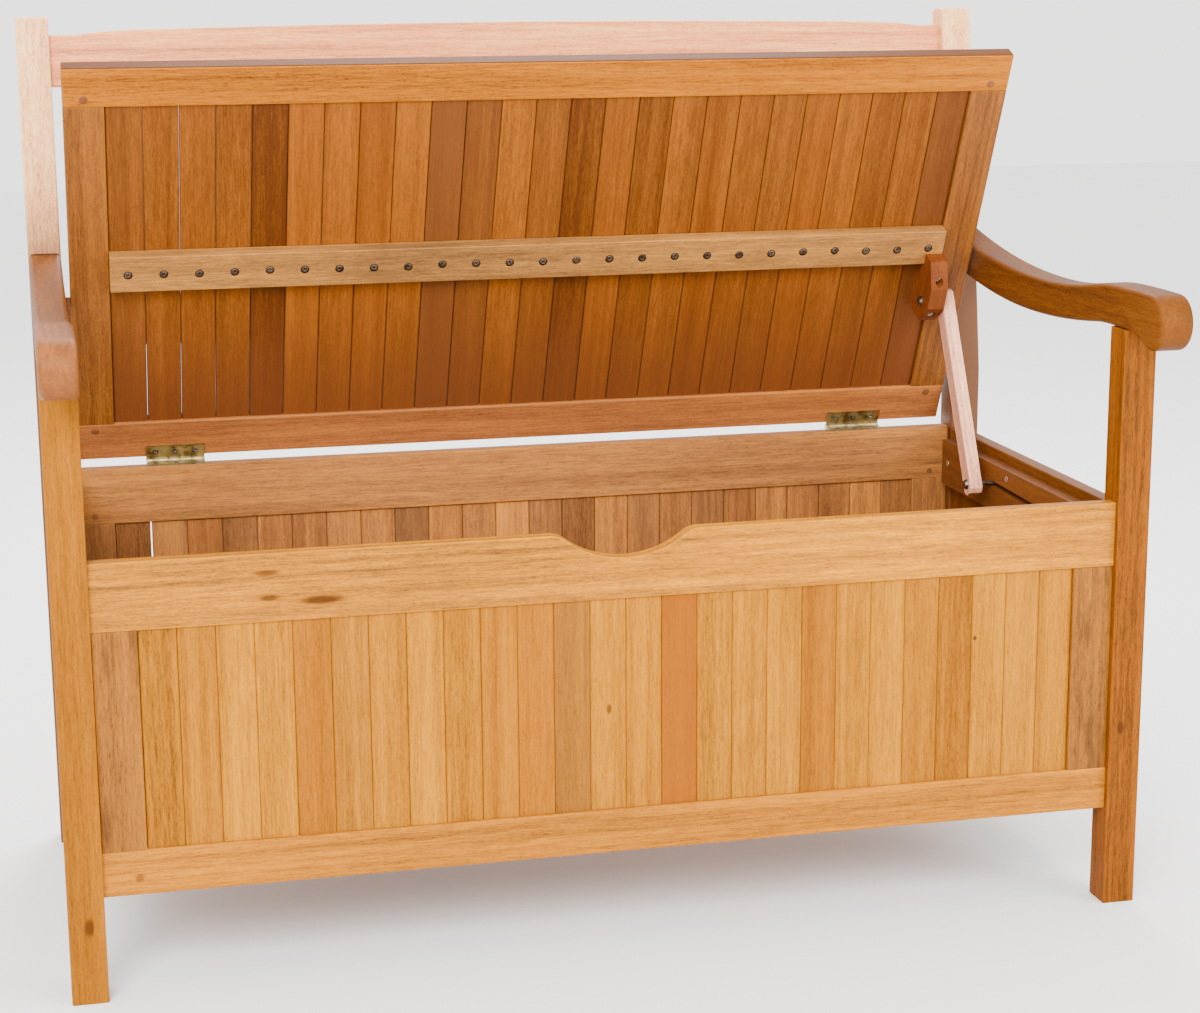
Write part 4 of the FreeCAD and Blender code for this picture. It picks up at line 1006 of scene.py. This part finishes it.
@dataclass
class Frame:
    """Legs, posts, arms and the back rest."""

    rake: float = 8.1
    bend: float = 0.498
    leg_top: float = 0.610
    leg_rim: float = 0.0012
    post_round: float = 0.009
    post_arc: float = 0.0099
    board: float = 0.017
    back_setback: float = 0.008
    soft: float = 0.0022
    tenon: float = 0.010
    crest_bottom: float = 0.353
    crest_end: float = 0.055
    crest_knee: float = 0.060
    crest_rise: float = 0.0095
    knee_inset: float = 0.088
    knee_arc: float = 0.6
    flat_inset: float = 0.026
    lower_bottom: float = 0.069
    lower_height: float = 0.055
    slat_count: int = 16
    slat_pitch: float = 0.063
    slat_width: float = 0.034
    slat_thickness: float = 0.010
    slat_tongue: float = 0.002
    slat_soft: float = 0.002

    def __post_init__(self) -> None:
        """Read the posts' and legs' places from the frame."""
        leg_low, leg_high = box_of("front_leg_left")
        post_low, post_high = box_of("back_post_left")
        self.side = leg_high[0] - leg_low[0]
        self.inner = -leg_high[0]
        self.post_y = post_low[1]
        self.post_top = post_high[2]
        self.back = Place(self.post_y, self.bend, -self.rake)
        self.arm = Arm(leg_low[1], self.post_y, self.bend, self.rake)

    def legs(self) -> None:
        """The two square front legs, up to the arms."""
        for side, hand in HANDS:
            low, high = box_of("front_leg_" + hand)
            leg = beam(tuple(low), (high[0], high[1], self.leg_top), Lay.Z, self.soft, self.leg_rim)
            finish, tone, mark = LEG_LOOKS[hand]
            wood = timber(leg, Lay.Z, 11 + side, tones=(tone,), warmth=(0.35,))
            built("leg_front_" + hand, [wood], replace(finish, marks=(mark,)), "bench",
                  stands_for=("front_leg_" + hand,), ends=(Lay.Z,))

    def posts(self) -> None:
        """The back posts: upright, then raked, with a rounded head.

        Above the bend the outline moves back by tan(rake) for each metre of height.
        """
        slope = math.tan(math.radians(self.rake))
        run, slip = slope * (self.post_top - self.bend), slope * self.post_round
        top, near, far = self.post_top, self.post_y, self.post_y + self.side
        corners = [(near, 0.0), (far, 0.0), (far, self.bend), (far + run - slip, top - self.post_round),
                   (far + run - self.post_round, top), (near + run + self.post_round, top),
                   (near + run - slip, top - self.post_round), (near, self.bend)]
        arc = (self.post_arc, False, 6)
        outline = traced(corners, {3: arc, 5: arc})
        for side, hand in HANDS:
            low, high = box_of("back_post_" + hand)
            post = carried(outline, low[0], high[0], Lay.X, self.soft)
            built("post_back_" + hand, [timber(post, Lay.Z, 21 + side, tones=(0.1,))], POST, "bench",
                  stands_for=("back_post_" + hand,))

    def arms(self) -> None:
        """The two arms, sawn from one board each and well rounded."""
        outline = self.arm.outline()
        for side, hand in HANDS:
            low, high = box_of("arm_" + hand)
            arm = carried(outline, low[0], high[0], Lay.X, self.arm.soft, self.arm.rim_steps)
            built("armrest_" + hand, [timber(arm, Lay.Y, 31 + side, warmth=(0.1 * side,))], ARMS[hand],
                  "bench", stands_for=("arm_" + hand,))

    def crest(self) -> None:
        """The crest rail: level ends, a knee at each side and a long low arch."""
        inner = self.inner
        knee, level, end = inner - self.knee_inset, inner - self.flat_inset, inner + self.tenon
        arch = level_arc(knee, self.crest_rise + self.crest_end - self.crest_knee)
        corners = [(-end, 0.0), (end, 0.0), (end, self.crest_end), (level, self.crest_end),
                   (knee, self.crest_knee), (-knee, self.crest_knee), (-level, self.crest_end),
                   (-end, self.crest_end)]
        bent = (self.knee_arc, False, 6)
        outline = traced(corners, {3: bent, 4: (arch, False, 40), 5: bent})
        outline = outline + np.array([0.0, self.crest_bottom])
        start = self.back_setback
        rail = carried(outline, start, start + self.board, Lay.Y, self.soft)
        built("rail_crest", [timber(rail, Lay.X, 41, tones=(0.05,))], CREST, "bench", self.back,
              ("crest_rail",))

    def lower_rail(self) -> None:
        """The rail that carries the back slats' feet."""
        start = self.back_setback
        end, top = self.inner + self.tenon, self.lower_bottom + self.lower_height
        rail = beam((-end, start, self.lower_bottom), (end, start + self.board, top), Lay.X)
        built("rail_back_lower", [timber(rail, Lay.X, 43)], BACK, "bench", self.back,
              ("lower_back_rail",))

    def back_slats(self) -> None:
        """The open row of slats between the two back rails."""
        start = self.back_setback + (self.board - self.slat_thickness) / 2
        bottom = self.lower_bottom + self.lower_height - self.slat_tongue
        top = self.crest_bottom + self.slat_tongue
        slat = beam((-self.slat_width / 2, start, bottom),
                    (self.slat_width / 2, start + self.slat_thickness, top), Lay.Z, self.slat_soft)
        shifts = along(Lay.X, (np.arange(self.slat_count) - (self.slat_count - 1) / 2) * self.slat_pitch)
        built("slats_back", [timber(slat, Lay.Z, 47, shifts, spread=0.3)], BACK, "bench",
              self.back, ("back_slats",))


# The finish of each front leg, its lightness and the knot near its foot.
LEG_LOOKS = {
    "left": (LEG, 0.0, Mark((-0.530, -0.2384, 0.078), (0.006, 0.02, 0.012))),
    "right": (AMBER_LEG, -0.3, Mark((0.527, -0.2384, 0.193), (0.005, 0.02, 0.010))),
}
PEG_TONE = -0.7
ARMS = {"left": ARM_LEFT, "right": ARM_RIGHT}
# Each slat's lightness and warmth from -1 to 1, judged from left to right.
FRONT_TONES = (-0.35, 0.1, 0.3, 0.3, -0.05, 0.05, 0.15, 0.35, 0.1, 0.0, -0.1, -0.2, 0.35,
               0.3, -0.45, 0.05, 0.3, 0.15, -0.1, 0.3, 0.35, 0.2, -0.3, 0.35, 0.2, 0.3)
FRONT_WARMTH = (0.2, 0.4, 0.2, 0.0, 0.6, -0.4, 0.3, 0.1, 0.2, 0.5, 0.7, -0.6, 0.1,
                0.3, 1.0, 0.0, 0.2, -0.1, 0.6, 0.1, 0.1, 0.4, 0.5, 0.1, -0.3, 0.3)
LID_TONES = (-0.35, 0.0, 0.05, -0.1, -0.9, 0.35, 0.15, 0.2, 0.15, -0.6, -0.35, 0.25, -0.25,
             -0.75, 0.2, -0.05, 0.4, 0.1, 0.05, 0.0, 0.15, 0.1, 0.0, 0.05, -0.65)
LID_WARMTH = (-0.4, 0.2, 0.2, 0.0, 0.1, 0.5, 0.3, 0.4, 0.3, -0.8, -0.6, 0.1, -0.3,
              -0.1, 0.4, 0.1, -0.1, 0.4, 0.2, -0.2, 0.5, 0.3, 0.2, 0.2, -0.6)


@dataclass
class Box:
    """The storage box: four framed and slatted walls and a slatted floor."""

    scoop_half: float = 0.075
    scoop_depth: float = 0.0255
    shoulder: float = 0.025
    soft: float = 0.002
    stile_soft: float = 0.0012
    stile_rim: float = 0.0006
    slat_soft: float = 0.0019
    slat_tongue: float = 0.003
    open_gap: float = 0.001
    open_joint: float = 0.0004
    closed_joint: float = 0.0001
    end_slip: float = 0.0006
    row_slip: float = 0.0004
    floor_count: int = 12
    floor_gap: float = 0.0055
    floor_soft: float = 0.0015
    top_tenon: float = 0.008
    rail_tenon: float = 0.006
    peg_inset: float = 0.009

    def __post_init__(self) -> None:
        """Read the walls' places from the frame."""
        self.low, self.high = box_of("front_bottom_rail")
        self.top_low, self.top_high = box_of("front_top_rail")
        self.inner = -box_of("front_leg_left")[1][0]
        self.opening = -box_of("front_stile_left")[1][0]

    def front_top(self) -> None:
        """The front top rail with its hand scoop, made of three tangent arcs.

        A shoulder's share of the summed radii of shoulder and bowl is also its share of the scoop's half
        width and depth, so that the two meet where they lean equally.
        """
        low, high = self.top_low, self.top_high
        total = level_arc(self.scoop_half, self.scoop_depth)
        bowl = total - self.shoulder
        turn_x = self.scoop_half * bowl / total
        turn_z = high[2] - self.shoulder * self.scoop_depth / total
        end = self.inner + self.top_tenon
        corners = [(-end, low[2]), (end, low[2]), (end, high[2]), (self.scoop_half, high[2]),
                   (turn_x, turn_z), (-turn_x, turn_z), (-self.scoop_half, high[2]), (-end, high[2])]
        arcs = {3: (self.shoulder, False, 8), 4: (bowl, True, 28), 5: (self.shoulder, False, 8)}
        rail = carried(traced(corners, arcs), low[1], high[1], Lay.Y, self.soft)
        marks = (Mark((-0.348, low[1], 0.3886), (0.013, 0.02, 0.0042), 0.75),
                 Mark((-0.298, low[1], 0.3837), (0.030, 0.02, 0.0058), 0.9),
                 Mark((-0.350, low[1], 0.4133), (0.016, 0.02, 0.0036), 0.75))
        finish = replace(SCOOPED, marks=marks)
        built("rail_front_top", [timber(rail, Lay.X, 51, tones=(0.15,))], finish, "bench",
              stands_for=("front_top_rail",))

    def rails(self) -> None:
        """Every straight rail of the four walls."""
        marks = (Mark((-0.4805, self.low[1], 0.1212), (0.0075, 0.02, 0.0066), 0.6),)
        finishes = {"front_bottom_rail": replace(BOTTOM, marks=marks), "rear_top_rail": WALL_RAIL,
                    "rear_bottom_rail": WALL_RAIL}
        end = self.inner + self.rail_tenon
        for number, node in enumerate(("front_bottom_rail", "rear_top_rail", "rear_bottom_rail")):
            low, high = box_of(node)
            rail = beam((-end, low[1], low[2]), (end, high[1], high[2]), Lay.X, self.soft)
            built("board_" + node, [timber(rail, Lay.X, 55 + number, tones=(0.1,))], finishes[node],
                  "bench", stands_for=(node,))
        for number, node in enumerate(("left_side_top_rail", "left_side_bottom_rail", "right_side_top_rail",
                                       "right_side_bottom_rail")):
            low, high = box_of(node)
            shorter = np.array([0.0, self.rail_tenon, 0.0])
            rail = beam(tuple(low + shorter), tuple(high - shorter), Lay.Y, self.soft)
            built("board_" + node, [timber(rail, Lay.Y, 61 + number)], SIDE, "bench",
                  stands_for=(node,))

    def stiles(self) -> None:
        """The stiles at the ends of the front and rear walls."""
        bottom, top = self.high[2] - SEAM, self.top_low[2] + SEAM
        walls = (("front", 71, 0.0, WEATHERED), ("rear", 74, -0.1, WALL_RAIL))
        for wall, seed, tone, finish in walls:
            for side, hand in HANDS:
                node = "%s_stile_%s" % (wall, hand)
                low, high = box_of(node)
                stile = beam((low[0], low[1], bottom), (high[0], high[1], top), Lay.Z, self.stile_soft,
                             self.stile_rim)
                wood = timber(stile, Lay.Z, seed + side, tones=(tone + 0.1 * side,), warmth=(-0.2,))
                built("stile_%s_%s" % (wall, hand), [wood], finish, "bench", stands_for=(node,))

    def row(self, node: str, name: str, lay: Lay, finish: Timber, count: int, gap: float, seed: int,
            spread: float, tones: tuple[float, ...] = (0.0,), warmth: tuple[float, ...] = (0.0,)) -> None:
        """One wall's row of upright slats. In an open row the first ones have slipped apart.

        The pitch is the row's length and one gap, shared out over the slats.

        Args:
            node: the CAD node that the row replaces.
            name: the row's name.
            lay: the axis that the row runs along.
            finish: its finish.
            count: how many slats.
            gap: the gap between them.
            seed: seed of its random values.
            spread: how much the slats' lightness and warmth vary by chance.
            tones: lightness of each slat.
            warmth: colour of each slat.
        """
        low, high = box_of(node)
        axis, is_open = lay.value, gap > self.open_gap
        pitch = (high[axis] - low[axis] + gap) / count
        near, far = low.copy(), high.copy()
        far[axis] = low[axis] + pitch - (self.open_joint if is_open else self.closed_joint)
        near[2], far[2] = self.high[2] - self.slat_tongue, self.top_low[2] + self.slat_tongue
        slat = beam(tuple(near), tuple(far), Lay.Z, self.slat_soft)
        places = np.arange(count) * pitch
        if is_open:
            places[0] -= self.end_slip
            places[1] += self.end_slip
            places[2:-1] += self.row_slip
        wood = timber(slat, Lay.Z, seed, along(lay, places), tones, warmth, spread)
        built(name, [wood], finish, "bench", stands_for=(node,))

    def walls(self) -> None:
        """The slats of all four walls."""
        marks = (Mark((-0.0176, -0.2279, 0.2526), (0.0035, 0.02, 0.007), 0.75),
                 Mark((0.3670, -0.2279, 0.2982), (0.0028, 0.02, 0.0034), 0.85))
        front = replace(SLAT, marks=marks)
        self.row("front_slats", "slats_front", Lay.X, front, count=26, gap=0.0004, seed=81,
                 tones=FRONT_TONES, warmth=FRONT_WARMTH, spread=0.04)
        self.row("rear_slats", "slats_rear", Lay.X, WALL_SLAT, count=24, gap=0.0016, seed=83, spread=0.3)
        self.row("left_side_slats", "slats_left", Lay.Y, SIDE, count=12, gap=0.0004, seed=85, spread=0.25)
        self.row("right_side_slats", "slats_right", Lay.Y, SIDE, count=12, gap=0.0004, seed=87, spread=0.25)

    def floor(self) -> None:
        """The floor boards and the two cleats that carry them."""
        low, high = box_of("floor_boards")
        pitch = (high[0] - low[0] + self.floor_gap) / self.floor_count
        board = beam(tuple(low), (low[0] + pitch - self.floor_gap, high[1], high[2]), Lay.Y,
                     self.floor_soft)
        shifts = along(Lay.X, np.arange(self.floor_count) * pitch)
        built("boards_floor", [timber(board, Lay.Y, 91, shifts, spread=0.25)], WALL_SLAT, "bench",
              stands_for=("floor_boards",))
        for number, node in enumerate(("floor_cleat_front", "floor_cleat_rear")):
            low, high = box_of(node)
            cleat = timber(beam(tuple(low), tuple(high), Lay.X), Lay.X, 93 + number)
            built(node.replace("floor_cleat", "cleat"), [cleat], WALL_RAIL, "bench",
                  stands_for=(node,))

    def pegs(self) -> None:
        """The plug ends of the pegs that pin the stiles' tenons, on the walls' inner faces."""
        x = (self.inner + self.opening) / 2
        levels = (self.top_low[2] + self.peg_inset, self.high[2] - self.peg_inset)
        faces = ((self.high[1], 1), (box_of("rear_top_rail")[0][1], -1))
        shapes = []
        for number, (y, sign) in enumerate(faces):
            shifts = np.array([(side * x, y, z) for side in (-1, 1) for z in levels])
            plug = faced(BOX_PEG.shape(), Lay.Y, sign)
            shapes.append(timber(plug, Lay.Y, 95 + number, shifts, (PEG_TONE,), spread=0.1))
        built("pegs_box", shapes, WALL_RAIL, "bench", ends=(Lay.Y,))


@dataclass
class Lid:
    """The slatted lid, built closed round its hinge axis and swung open."""

    edge: float = 0.0045
    under: float = 0.0018
    thickness: float = 0.017
    depth: float = 0.484
    half: float = 0.509
    rear_rail: float = 0.0475
    front_rail: float = 0.044
    stile: float = 0.0415
    recess: float = 0.0035
    slat_thickness: float = 0.010
    slat_count: int = 25
    slat_gap: float = 0.0006
    batten_place: float = 0.226
    batten_width: float = 0.043
    batten_thickness: float = 0.015
    batten_soft: float = 0.0015
    batten_rim: float = 0.0008
    soft: float = 0.0024
    rim: float = 0.0016
    stile_rim: float = 0.0006
    slat_soft: float = 0.0018
    slat_rim: float = 0.0004
    slat_tongue: float = 0.003
    screw_proud: float = 0.0003
    shade_disc_proud: float = 0.0002
    screw_stray: float = 0.0006
    peg_inset: float = 0.009

    def __post_init__(self) -> None:
        """Read the hinge's axis and the open angle from the frame."""
        y, z, turn = bearing("lid_hinge")
        self.place = Place(y, z, -turn)
        self.inner = self.half - self.stile
        self.near = self.edge + self.rear_rail
        self.far = self.edge + self.depth - self.front_rail
        self.top = self.under + self.thickness
        self.slat_under = self.under + self.recess
        self.pitch = self.inner * 2 / self.slat_count

    def slab(self, x0: float, x1: float, u0: float, u1: float, w0: float, w1: float, lay: Lay,
             soft: float, rim: float) -> Shape:
        """A board by its distances in front of the hinge axis (u) and above it (w)."""
        return beam((x0, -u1, w0), (x1, -u0, w1), lay, soft, rim)

    def made(self, name: str, wood: list[Shape], finish: Timber, nodes: tuple[str, ...],
             ends: tuple[Lay, ...] = ()) -> None:
        """Build one of the lid's pieces."""
        built(name, wood, finish, "lid", self.place, nodes, ends)

    def rails(self) -> None:
        """The rear and front rails, as long as the lid is wide."""
        reach = (-self.half, self.half)
        level = (self.under, self.top, Lay.X, self.soft, self.rim)
        rear = self.slab(*reach, self.edge, self.near, *level)
        front = self.slab(*reach, self.far, self.edge + self.depth, *level)
        self.made("lid_rail_rear", [timber(rear, Lay.X, 101)], LID_REAR, ("lid_rear_rail",), (Lay.X,))
        # The front rail's long edge faces are darkened with its end grain: painted shade on the edge that
        # faces up when the lid is open.
        self.made("lid_rail_front", [timber(front, Lay.X, 103)], LID_FRONT, ("lid_front_rail",),
                  (Lay.X, Lay.Y))

    def stiles(self) -> None:
        """The two stiles between the rails."""
        for side, hand in HANDS:
            x0, x1 = sorted((side * self.inner, side * self.half))
            stile = self.slab(x0, x1, self.near - SEAM, self.far + SEAM, self.under, self.top, Lay.Y,
                              self.rim, self.stile_rim)
            self.made("lid_stile_board_" + hand, [timber(stile, Lay.Y, 105 + side)], LID_SIDE,
                      ("lid_stile_" + hand,))

    def slats(self) -> None:
        """The row of slats, each with its own colour."""
        first = -self.inner + self.slat_gap / 2
        slat = self.slab(first, first + self.pitch - self.slat_gap, self.near - self.slat_tongue,
                         self.far + self.slat_tongue, self.slat_under,
                         self.slat_under + self.slat_thickness, Lay.Y, self.slat_soft, self.slat_rim)
        shifts = along(Lay.X, np.arange(self.slat_count) * self.pitch)
        wood = timber(slat, Lay.Y, 107, shifts, LID_TONES, LID_WARMTH, spread=0.04)
        self.made("lid_slat_row", [wood], LID_SLAT, ("lid_slats",))

    def batten(self) -> None:
        """The cross batten under the slats and its screws."""
        u0 = self.edge + self.batten_place
        under = self.slat_under - self.batten_thickness
        batten = self.slab(-self.inner, self.inner, u0, u0 + self.batten_width, under,
                           self.slat_under, Lay.X, self.batten_soft, self.batten_rim)
        self.made("lid_cross_batten", [timber(batten, Lay.X, 109)], BATTEN, ("lid_batten",), (Lay.X,))
        rng = np.random.default_rng(110)
        spots = np.full((self.slat_count, 3), under)
        spots[:, 0] = (np.arange(self.slat_count) + 0.5) * self.pitch - self.inner
        spots[:, 1] = -u0 - self.batten_width / 2 + rng.normal(0, self.screw_stray, self.slat_count)
        screws = []
        for spot in spots:
            head = faced(BATTEN_SCREW.shape(), Lay.Z, -1, rng.uniform(0, 90))
            screws.append(head.rowed(spot[None] - (0, 0, self.screw_proud)))
        built("screws_batten", screws, STEEL, "lid", self.place)
        # A dark disc round each batten screw: painted shade of a countersink recess that is not cut.
        ring = faced(BATTEN_SHADE_DISC.shape(), Lay.Z, -1)
        rings = timber(ring, Lay.X, 112, spots - (0, 0, self.shade_disc_proud))
        built("shade_discs_batten", [rings], COUNTERSINK_SHADE, "lid", self.place)

    def pegs(self) -> None:
        """The plug ends of the corner pegs, on the lid's underside."""
        x = self.half - self.stile / 2
        places = (self.near - self.peg_inset, self.far + self.peg_inset)
        shifts = np.array([(side * x, -u, self.under) for side in (-1, 1) for u in places])
        plug = faced(LID_PEG.shape(), Lay.Z, -1)
        pegs = timber(plug, Lay.Z, 111, shifts, (PEG_TONE,), spread=0.1)
        self.made("pegs_lid", [pegs], LID_REAR, (), (Lay.Z,))


@dataclass
class Fittings:
    """The hinges' finish and screws, and the lid stay."""

    hinge_place: float = 0.401
    screw_pitch: float = 0.022
    screw_reach: float = 0.012
    screw_level: float = 0.0002
    guide_face: float = 0.500
    guide_spots: tuple[tuple[float, float], ...] = ((0.1936, 0.391), (0.0166, 0.407), (-0.180, 0.378))
    pocket_x: float = 0.4575
    pocket_places: tuple[float, float] = (0.1775, 0.2245)
    pocket_bottom: float = -0.0312
    pocket_rise: float = 0.0006
    strut_length: float = 0.2202
    foot_level: float = 0.3948
    strut_sides: tuple[float, float] = (0.4695, 0.4845)
    strut_half: float = 0.0105
    strut_end: float = 0.012
    strut_clip: float = 0.005
    strut_soft: float = 0.0016

    def __post_init__(self) -> None:
        """Read the hinge's axis and the strut's pivot from the frame."""
        y, z, turn = bearing("lid_hinge")
        self.axis = Place(y, z)
        self.lid = Place(y, z, -turn)
        pivot_y, pivot_z, _ = bearing("strut_swing")
        lean = math.degrees(math.acos((pivot_z - self.foot_level) / self.strut_length))
        self.strut_place = Place(pivot_y, pivot_z, -lean)

    def plate(self) -> None:
        """Give the hinges and bolts that stay as solids their metal."""
        for node in frame["nodes"]:
            if node.startswith("hinge_") or node in ("stay_pivot_bolt", "stay_slide_bolt", "stay_washer"):
                metal = BRASS if node.startswith("hinge_") else STEEL
                mesh = frame["nodes"][node].data
                mesh.materials.clear()
                mesh.materials.append(metal.made())
                log.info("%s keeps its solid", node)

    def screws(self) -> None:
        """Three cross-head screws in each leaf of the two hinges."""
        rng = np.random.default_rng(121)
        for body, place, sign in (("lid", self.lid, -1), ("bench", self.axis, 1)):
            heads = []
            for centre in (-self.hinge_place, self.hinge_place):
                for step in (-1, 0, 1):
                    head = faced(HINGE_SCREW.shape(), Lay.Z, sign, rng.uniform(0, 90))
                    x = centre + step * self.screw_pitch
                    heads.append(head.rowed(np.array([[x, -self.screw_reach, -sign * self.screw_level]])))
            built("screws_hinge_" + body, heads, STEEL, body, place)

    def stay_screws(self) -> None:
        """The guide board's three screws and the two in the block's pockets."""
        rng = np.random.default_rng(125)
        heads = []
        for y, z in self.guide_spots:
            head = faced(GUIDE_SCREW.shape(), Lay.X, -1, rng.uniform(0, 90))
            heads.append(head.rowed(np.array([[self.guide_face - self.screw_level, y, z]])))
        built("screws_guide", heads, ZINC, "bench")
        heads = []
        for u in self.pocket_places:
            head = faced(BLOCK_SCREW.shape(), Lay.Z, -1, rng.uniform(0, 90))
            spot = np.array([[self.pocket_x, -u, self.pocket_bottom - self.pocket_rise]])
            heads.append(head.rowed(spot))
        built("screws_block", heads, ZINC, "lid", self.lid)

    def carved(self, node: str, name: str, finish: Timber, body: str, place: Place, seed: int) -> None:
        """Copy a CAD node that has holes, so that it takes a grain.

        Args:
            node: the CAD node.
            name: the copy's name.
            finish: its finish.
            body: the body it rides on.
            place: the frame it was drawn in, whose Y axis its fibres follow.
            seed: seed of its random values.
        """
        mesh = frame["nodes"][node].data.copy()
        mesh.name = name
        points = np.empty(len(mesh.vertices) * 3)
        mesh.vertices.foreach_get("co", points)
        own = replace(place, y=0.0, z=0.0, turn=-place.turn).spin(
            points.reshape(-1, 3) - np.array([0.0, place.y, place.z]))
        shape = Shape(own, own, np.zeros((0, 4), int), np.zeros((0, 3), int), np.zeros(len(own)))
        grained(mesh, [timber(shape, Lay.Y, seed)])
        mesh.materials.clear()
        mesh.materials.append(finish.made())
        piece = placed(name, mesh)
        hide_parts(node)
        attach(piece, body)
        log.info("%s: carved copy of %s", name, node)

    def stay(self) -> None:
        """The block under the lid, the strut and the slotted guide board."""
        self.carved("stay_block", "stay_block_carved", BLOCK, "lid", self.lid, 131)
        self.carved("stay_guide_board", "stay_guide_carved", GUIDE, "bench", Place(), 132)
        half, clip, head, foot = self.strut_half, self.strut_clip, self.strut_end, -self.strut_length
        foot -= self.strut_end
        corners = np.array([(-half, foot + clip), (-half + clip, foot), (half - clip, foot),
                            (half, foot + clip), (half, head - clip), (half - clip, head),
                            (-half + clip, head), (-half, head - clip)])
        outline = softened(corners, self.strut_soft, steps=4)
        strut = carried(outline, *self.strut_sides, Lay.X, self.strut_soft)
        built("strut_board", [timber(strut, Lay.Z, 133)], STRUT, "strut", self.strut_place,
              ("stay_strut",))


@dataclass(frozen=True)
class Lamp:
    """A soft round light."""

    name: str
    spot: Triple
    aim: Triple
    size: float
    power: float
    colour: Colour

    def hung(self) -> None:
        """Add the light, turned to its aim."""
        data = bpy.data.lights.new(self.name, "AREA")
        data.shape = "DISK"
        data.size = self.size
        data.energy = self.power
        data.color = self.colour
        lamp = placed(self.name, data)
        lamp.location = self.spot
        lamp.rotation_euler = (Vector(self.aim) - Vector(self.spot)).to_track_quat("-Z", "Y").to_euler()


LAMPS = (
    Lamp("key", (-1.5, -3.0, 2.3), (0.0, 0.0, 0.4), 1.8, 250.0, (1.0, 0.98, 0.95)),
    Lamp("fill", (2.4, -2.2, 1.3), (0.0, 0.0, 0.4), 1.6, 80.0, (1.0, 0.97, 0.94)),
    Lamp("rim", (0.4, 1.8, 2.6), (0.0, 0.2, 0.7), 1.6, 120.0, (1.0, 0.98, 0.97)),
)


@dataclass
class Studio:
    """The camera at the photograph's viewing angle, soft lights and a pale floor."""

    eye: Triple = (-0.56139, -2.47846, 0.96531)
    yaw: float = 13.3957
    pitch: float = -12.3684
    roll: float = -0.3632
    focal_pixels: float = 2442.14
    image_width: float = 1200.0
    sensor: float = 36.0
    surround: Colour = (1.0, 0.99, 0.97)
    surround_power: float = 2.55
    floor_reach: float = 9.0
    floor_tint: Colour = (0.86, 0.86, 0.86)
    floor_roughness: float = 0.8

    def camera(self) -> None:
        """Set the camera from its yaw, pitch and roll.

        The lens is the sensor's width times the focal length in pixels over the image's width.
        """
        yaw, pitch, roll = (math.radians(turn) for turn in (self.yaw, self.pitch, self.roll))
        ahead = Vector((math.sin(yaw) * math.cos(pitch), math.cos(yaw) * math.cos(pitch), math.sin(pitch)))
        level = Vector((math.cos(yaw), -math.sin(yaw), 0.0))
        up = level.cross(ahead)
        right = level * math.cos(roll) + up * math.sin(roll)
        top = up * math.cos(roll) - level * math.sin(roll)
        data = bpy.data.cameras.new("view")
        data.sensor_width = self.sensor
        data.lens = self.focal_pixels / self.image_width * self.sensor
        camera = placed("view", data)
        turn = Matrix((right, top, -ahead)).transposed().to_4x4()
        camera.matrix_world = Matrix.Translation(self.eye) @ turn
        bpy.context.scene.camera = camera

    def light(self) -> None:
        """A pale surround, a broad key from the front left, a fill and a light over the back."""
        world = bpy.data.worlds.new("surround")
        world.use_nodes = True
        sky = world.node_tree.nodes["Background"]
        sky.inputs["Color"].default_value = (*self.surround, 1.0)
        sky.inputs["Strength"].default_value = self.surround_power
        bpy.context.scene.world = world
        for lamp in LAMPS:
            lamp.hung()

    def floor(self) -> None:
        """A plain pale floor."""
        mesh = bpy.data.meshes.new("floor")
        reach = self.floor_reach
        corners = [(-reach, -reach, 0), (reach, -reach, 0), (reach, reach, 0), (-reach, reach, 0)]
        mesh.from_pydata(corners, [], [(0, 1, 2, 3)])
        book = Book("pale_floor")
        book.shader.inputs["Base Color"].default_value = (*self.floor_tint, 1.0)
        book.shader.inputs["Roughness"].default_value = self.floor_roughness
        mesh.materials.append(book.material)
        floor = placed("floor", mesh)


def main() -> None:
    """Build the bench, its fittings and the studio, in that order."""
    logging.basicConfig(level=logging.INFO, format="%(message)s")
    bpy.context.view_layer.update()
    seat = Frame()
    seat.legs()
    seat.posts()
    seat.arms()
    seat.crest()
    seat.lower_rail()
    seat.back_slats()
    chest = Box()
    chest.front_top()
    chest.rails()
    chest.stiles()
    chest.walls()
    chest.floor()
    chest.pegs()
    lid = Lid()
    lid.rails()
    lid.stiles()
    lid.slats()
    lid.batten()
    lid.pegs()
    fittings = Fittings()
    fittings.plate()
    fittings.screws()
    fittings.stay_screws()
    fittings.stay()
    studio = Studio()
    studio.camera()
    studio.light()
    studio.floor()


if __name__ == "__main__":
    main()
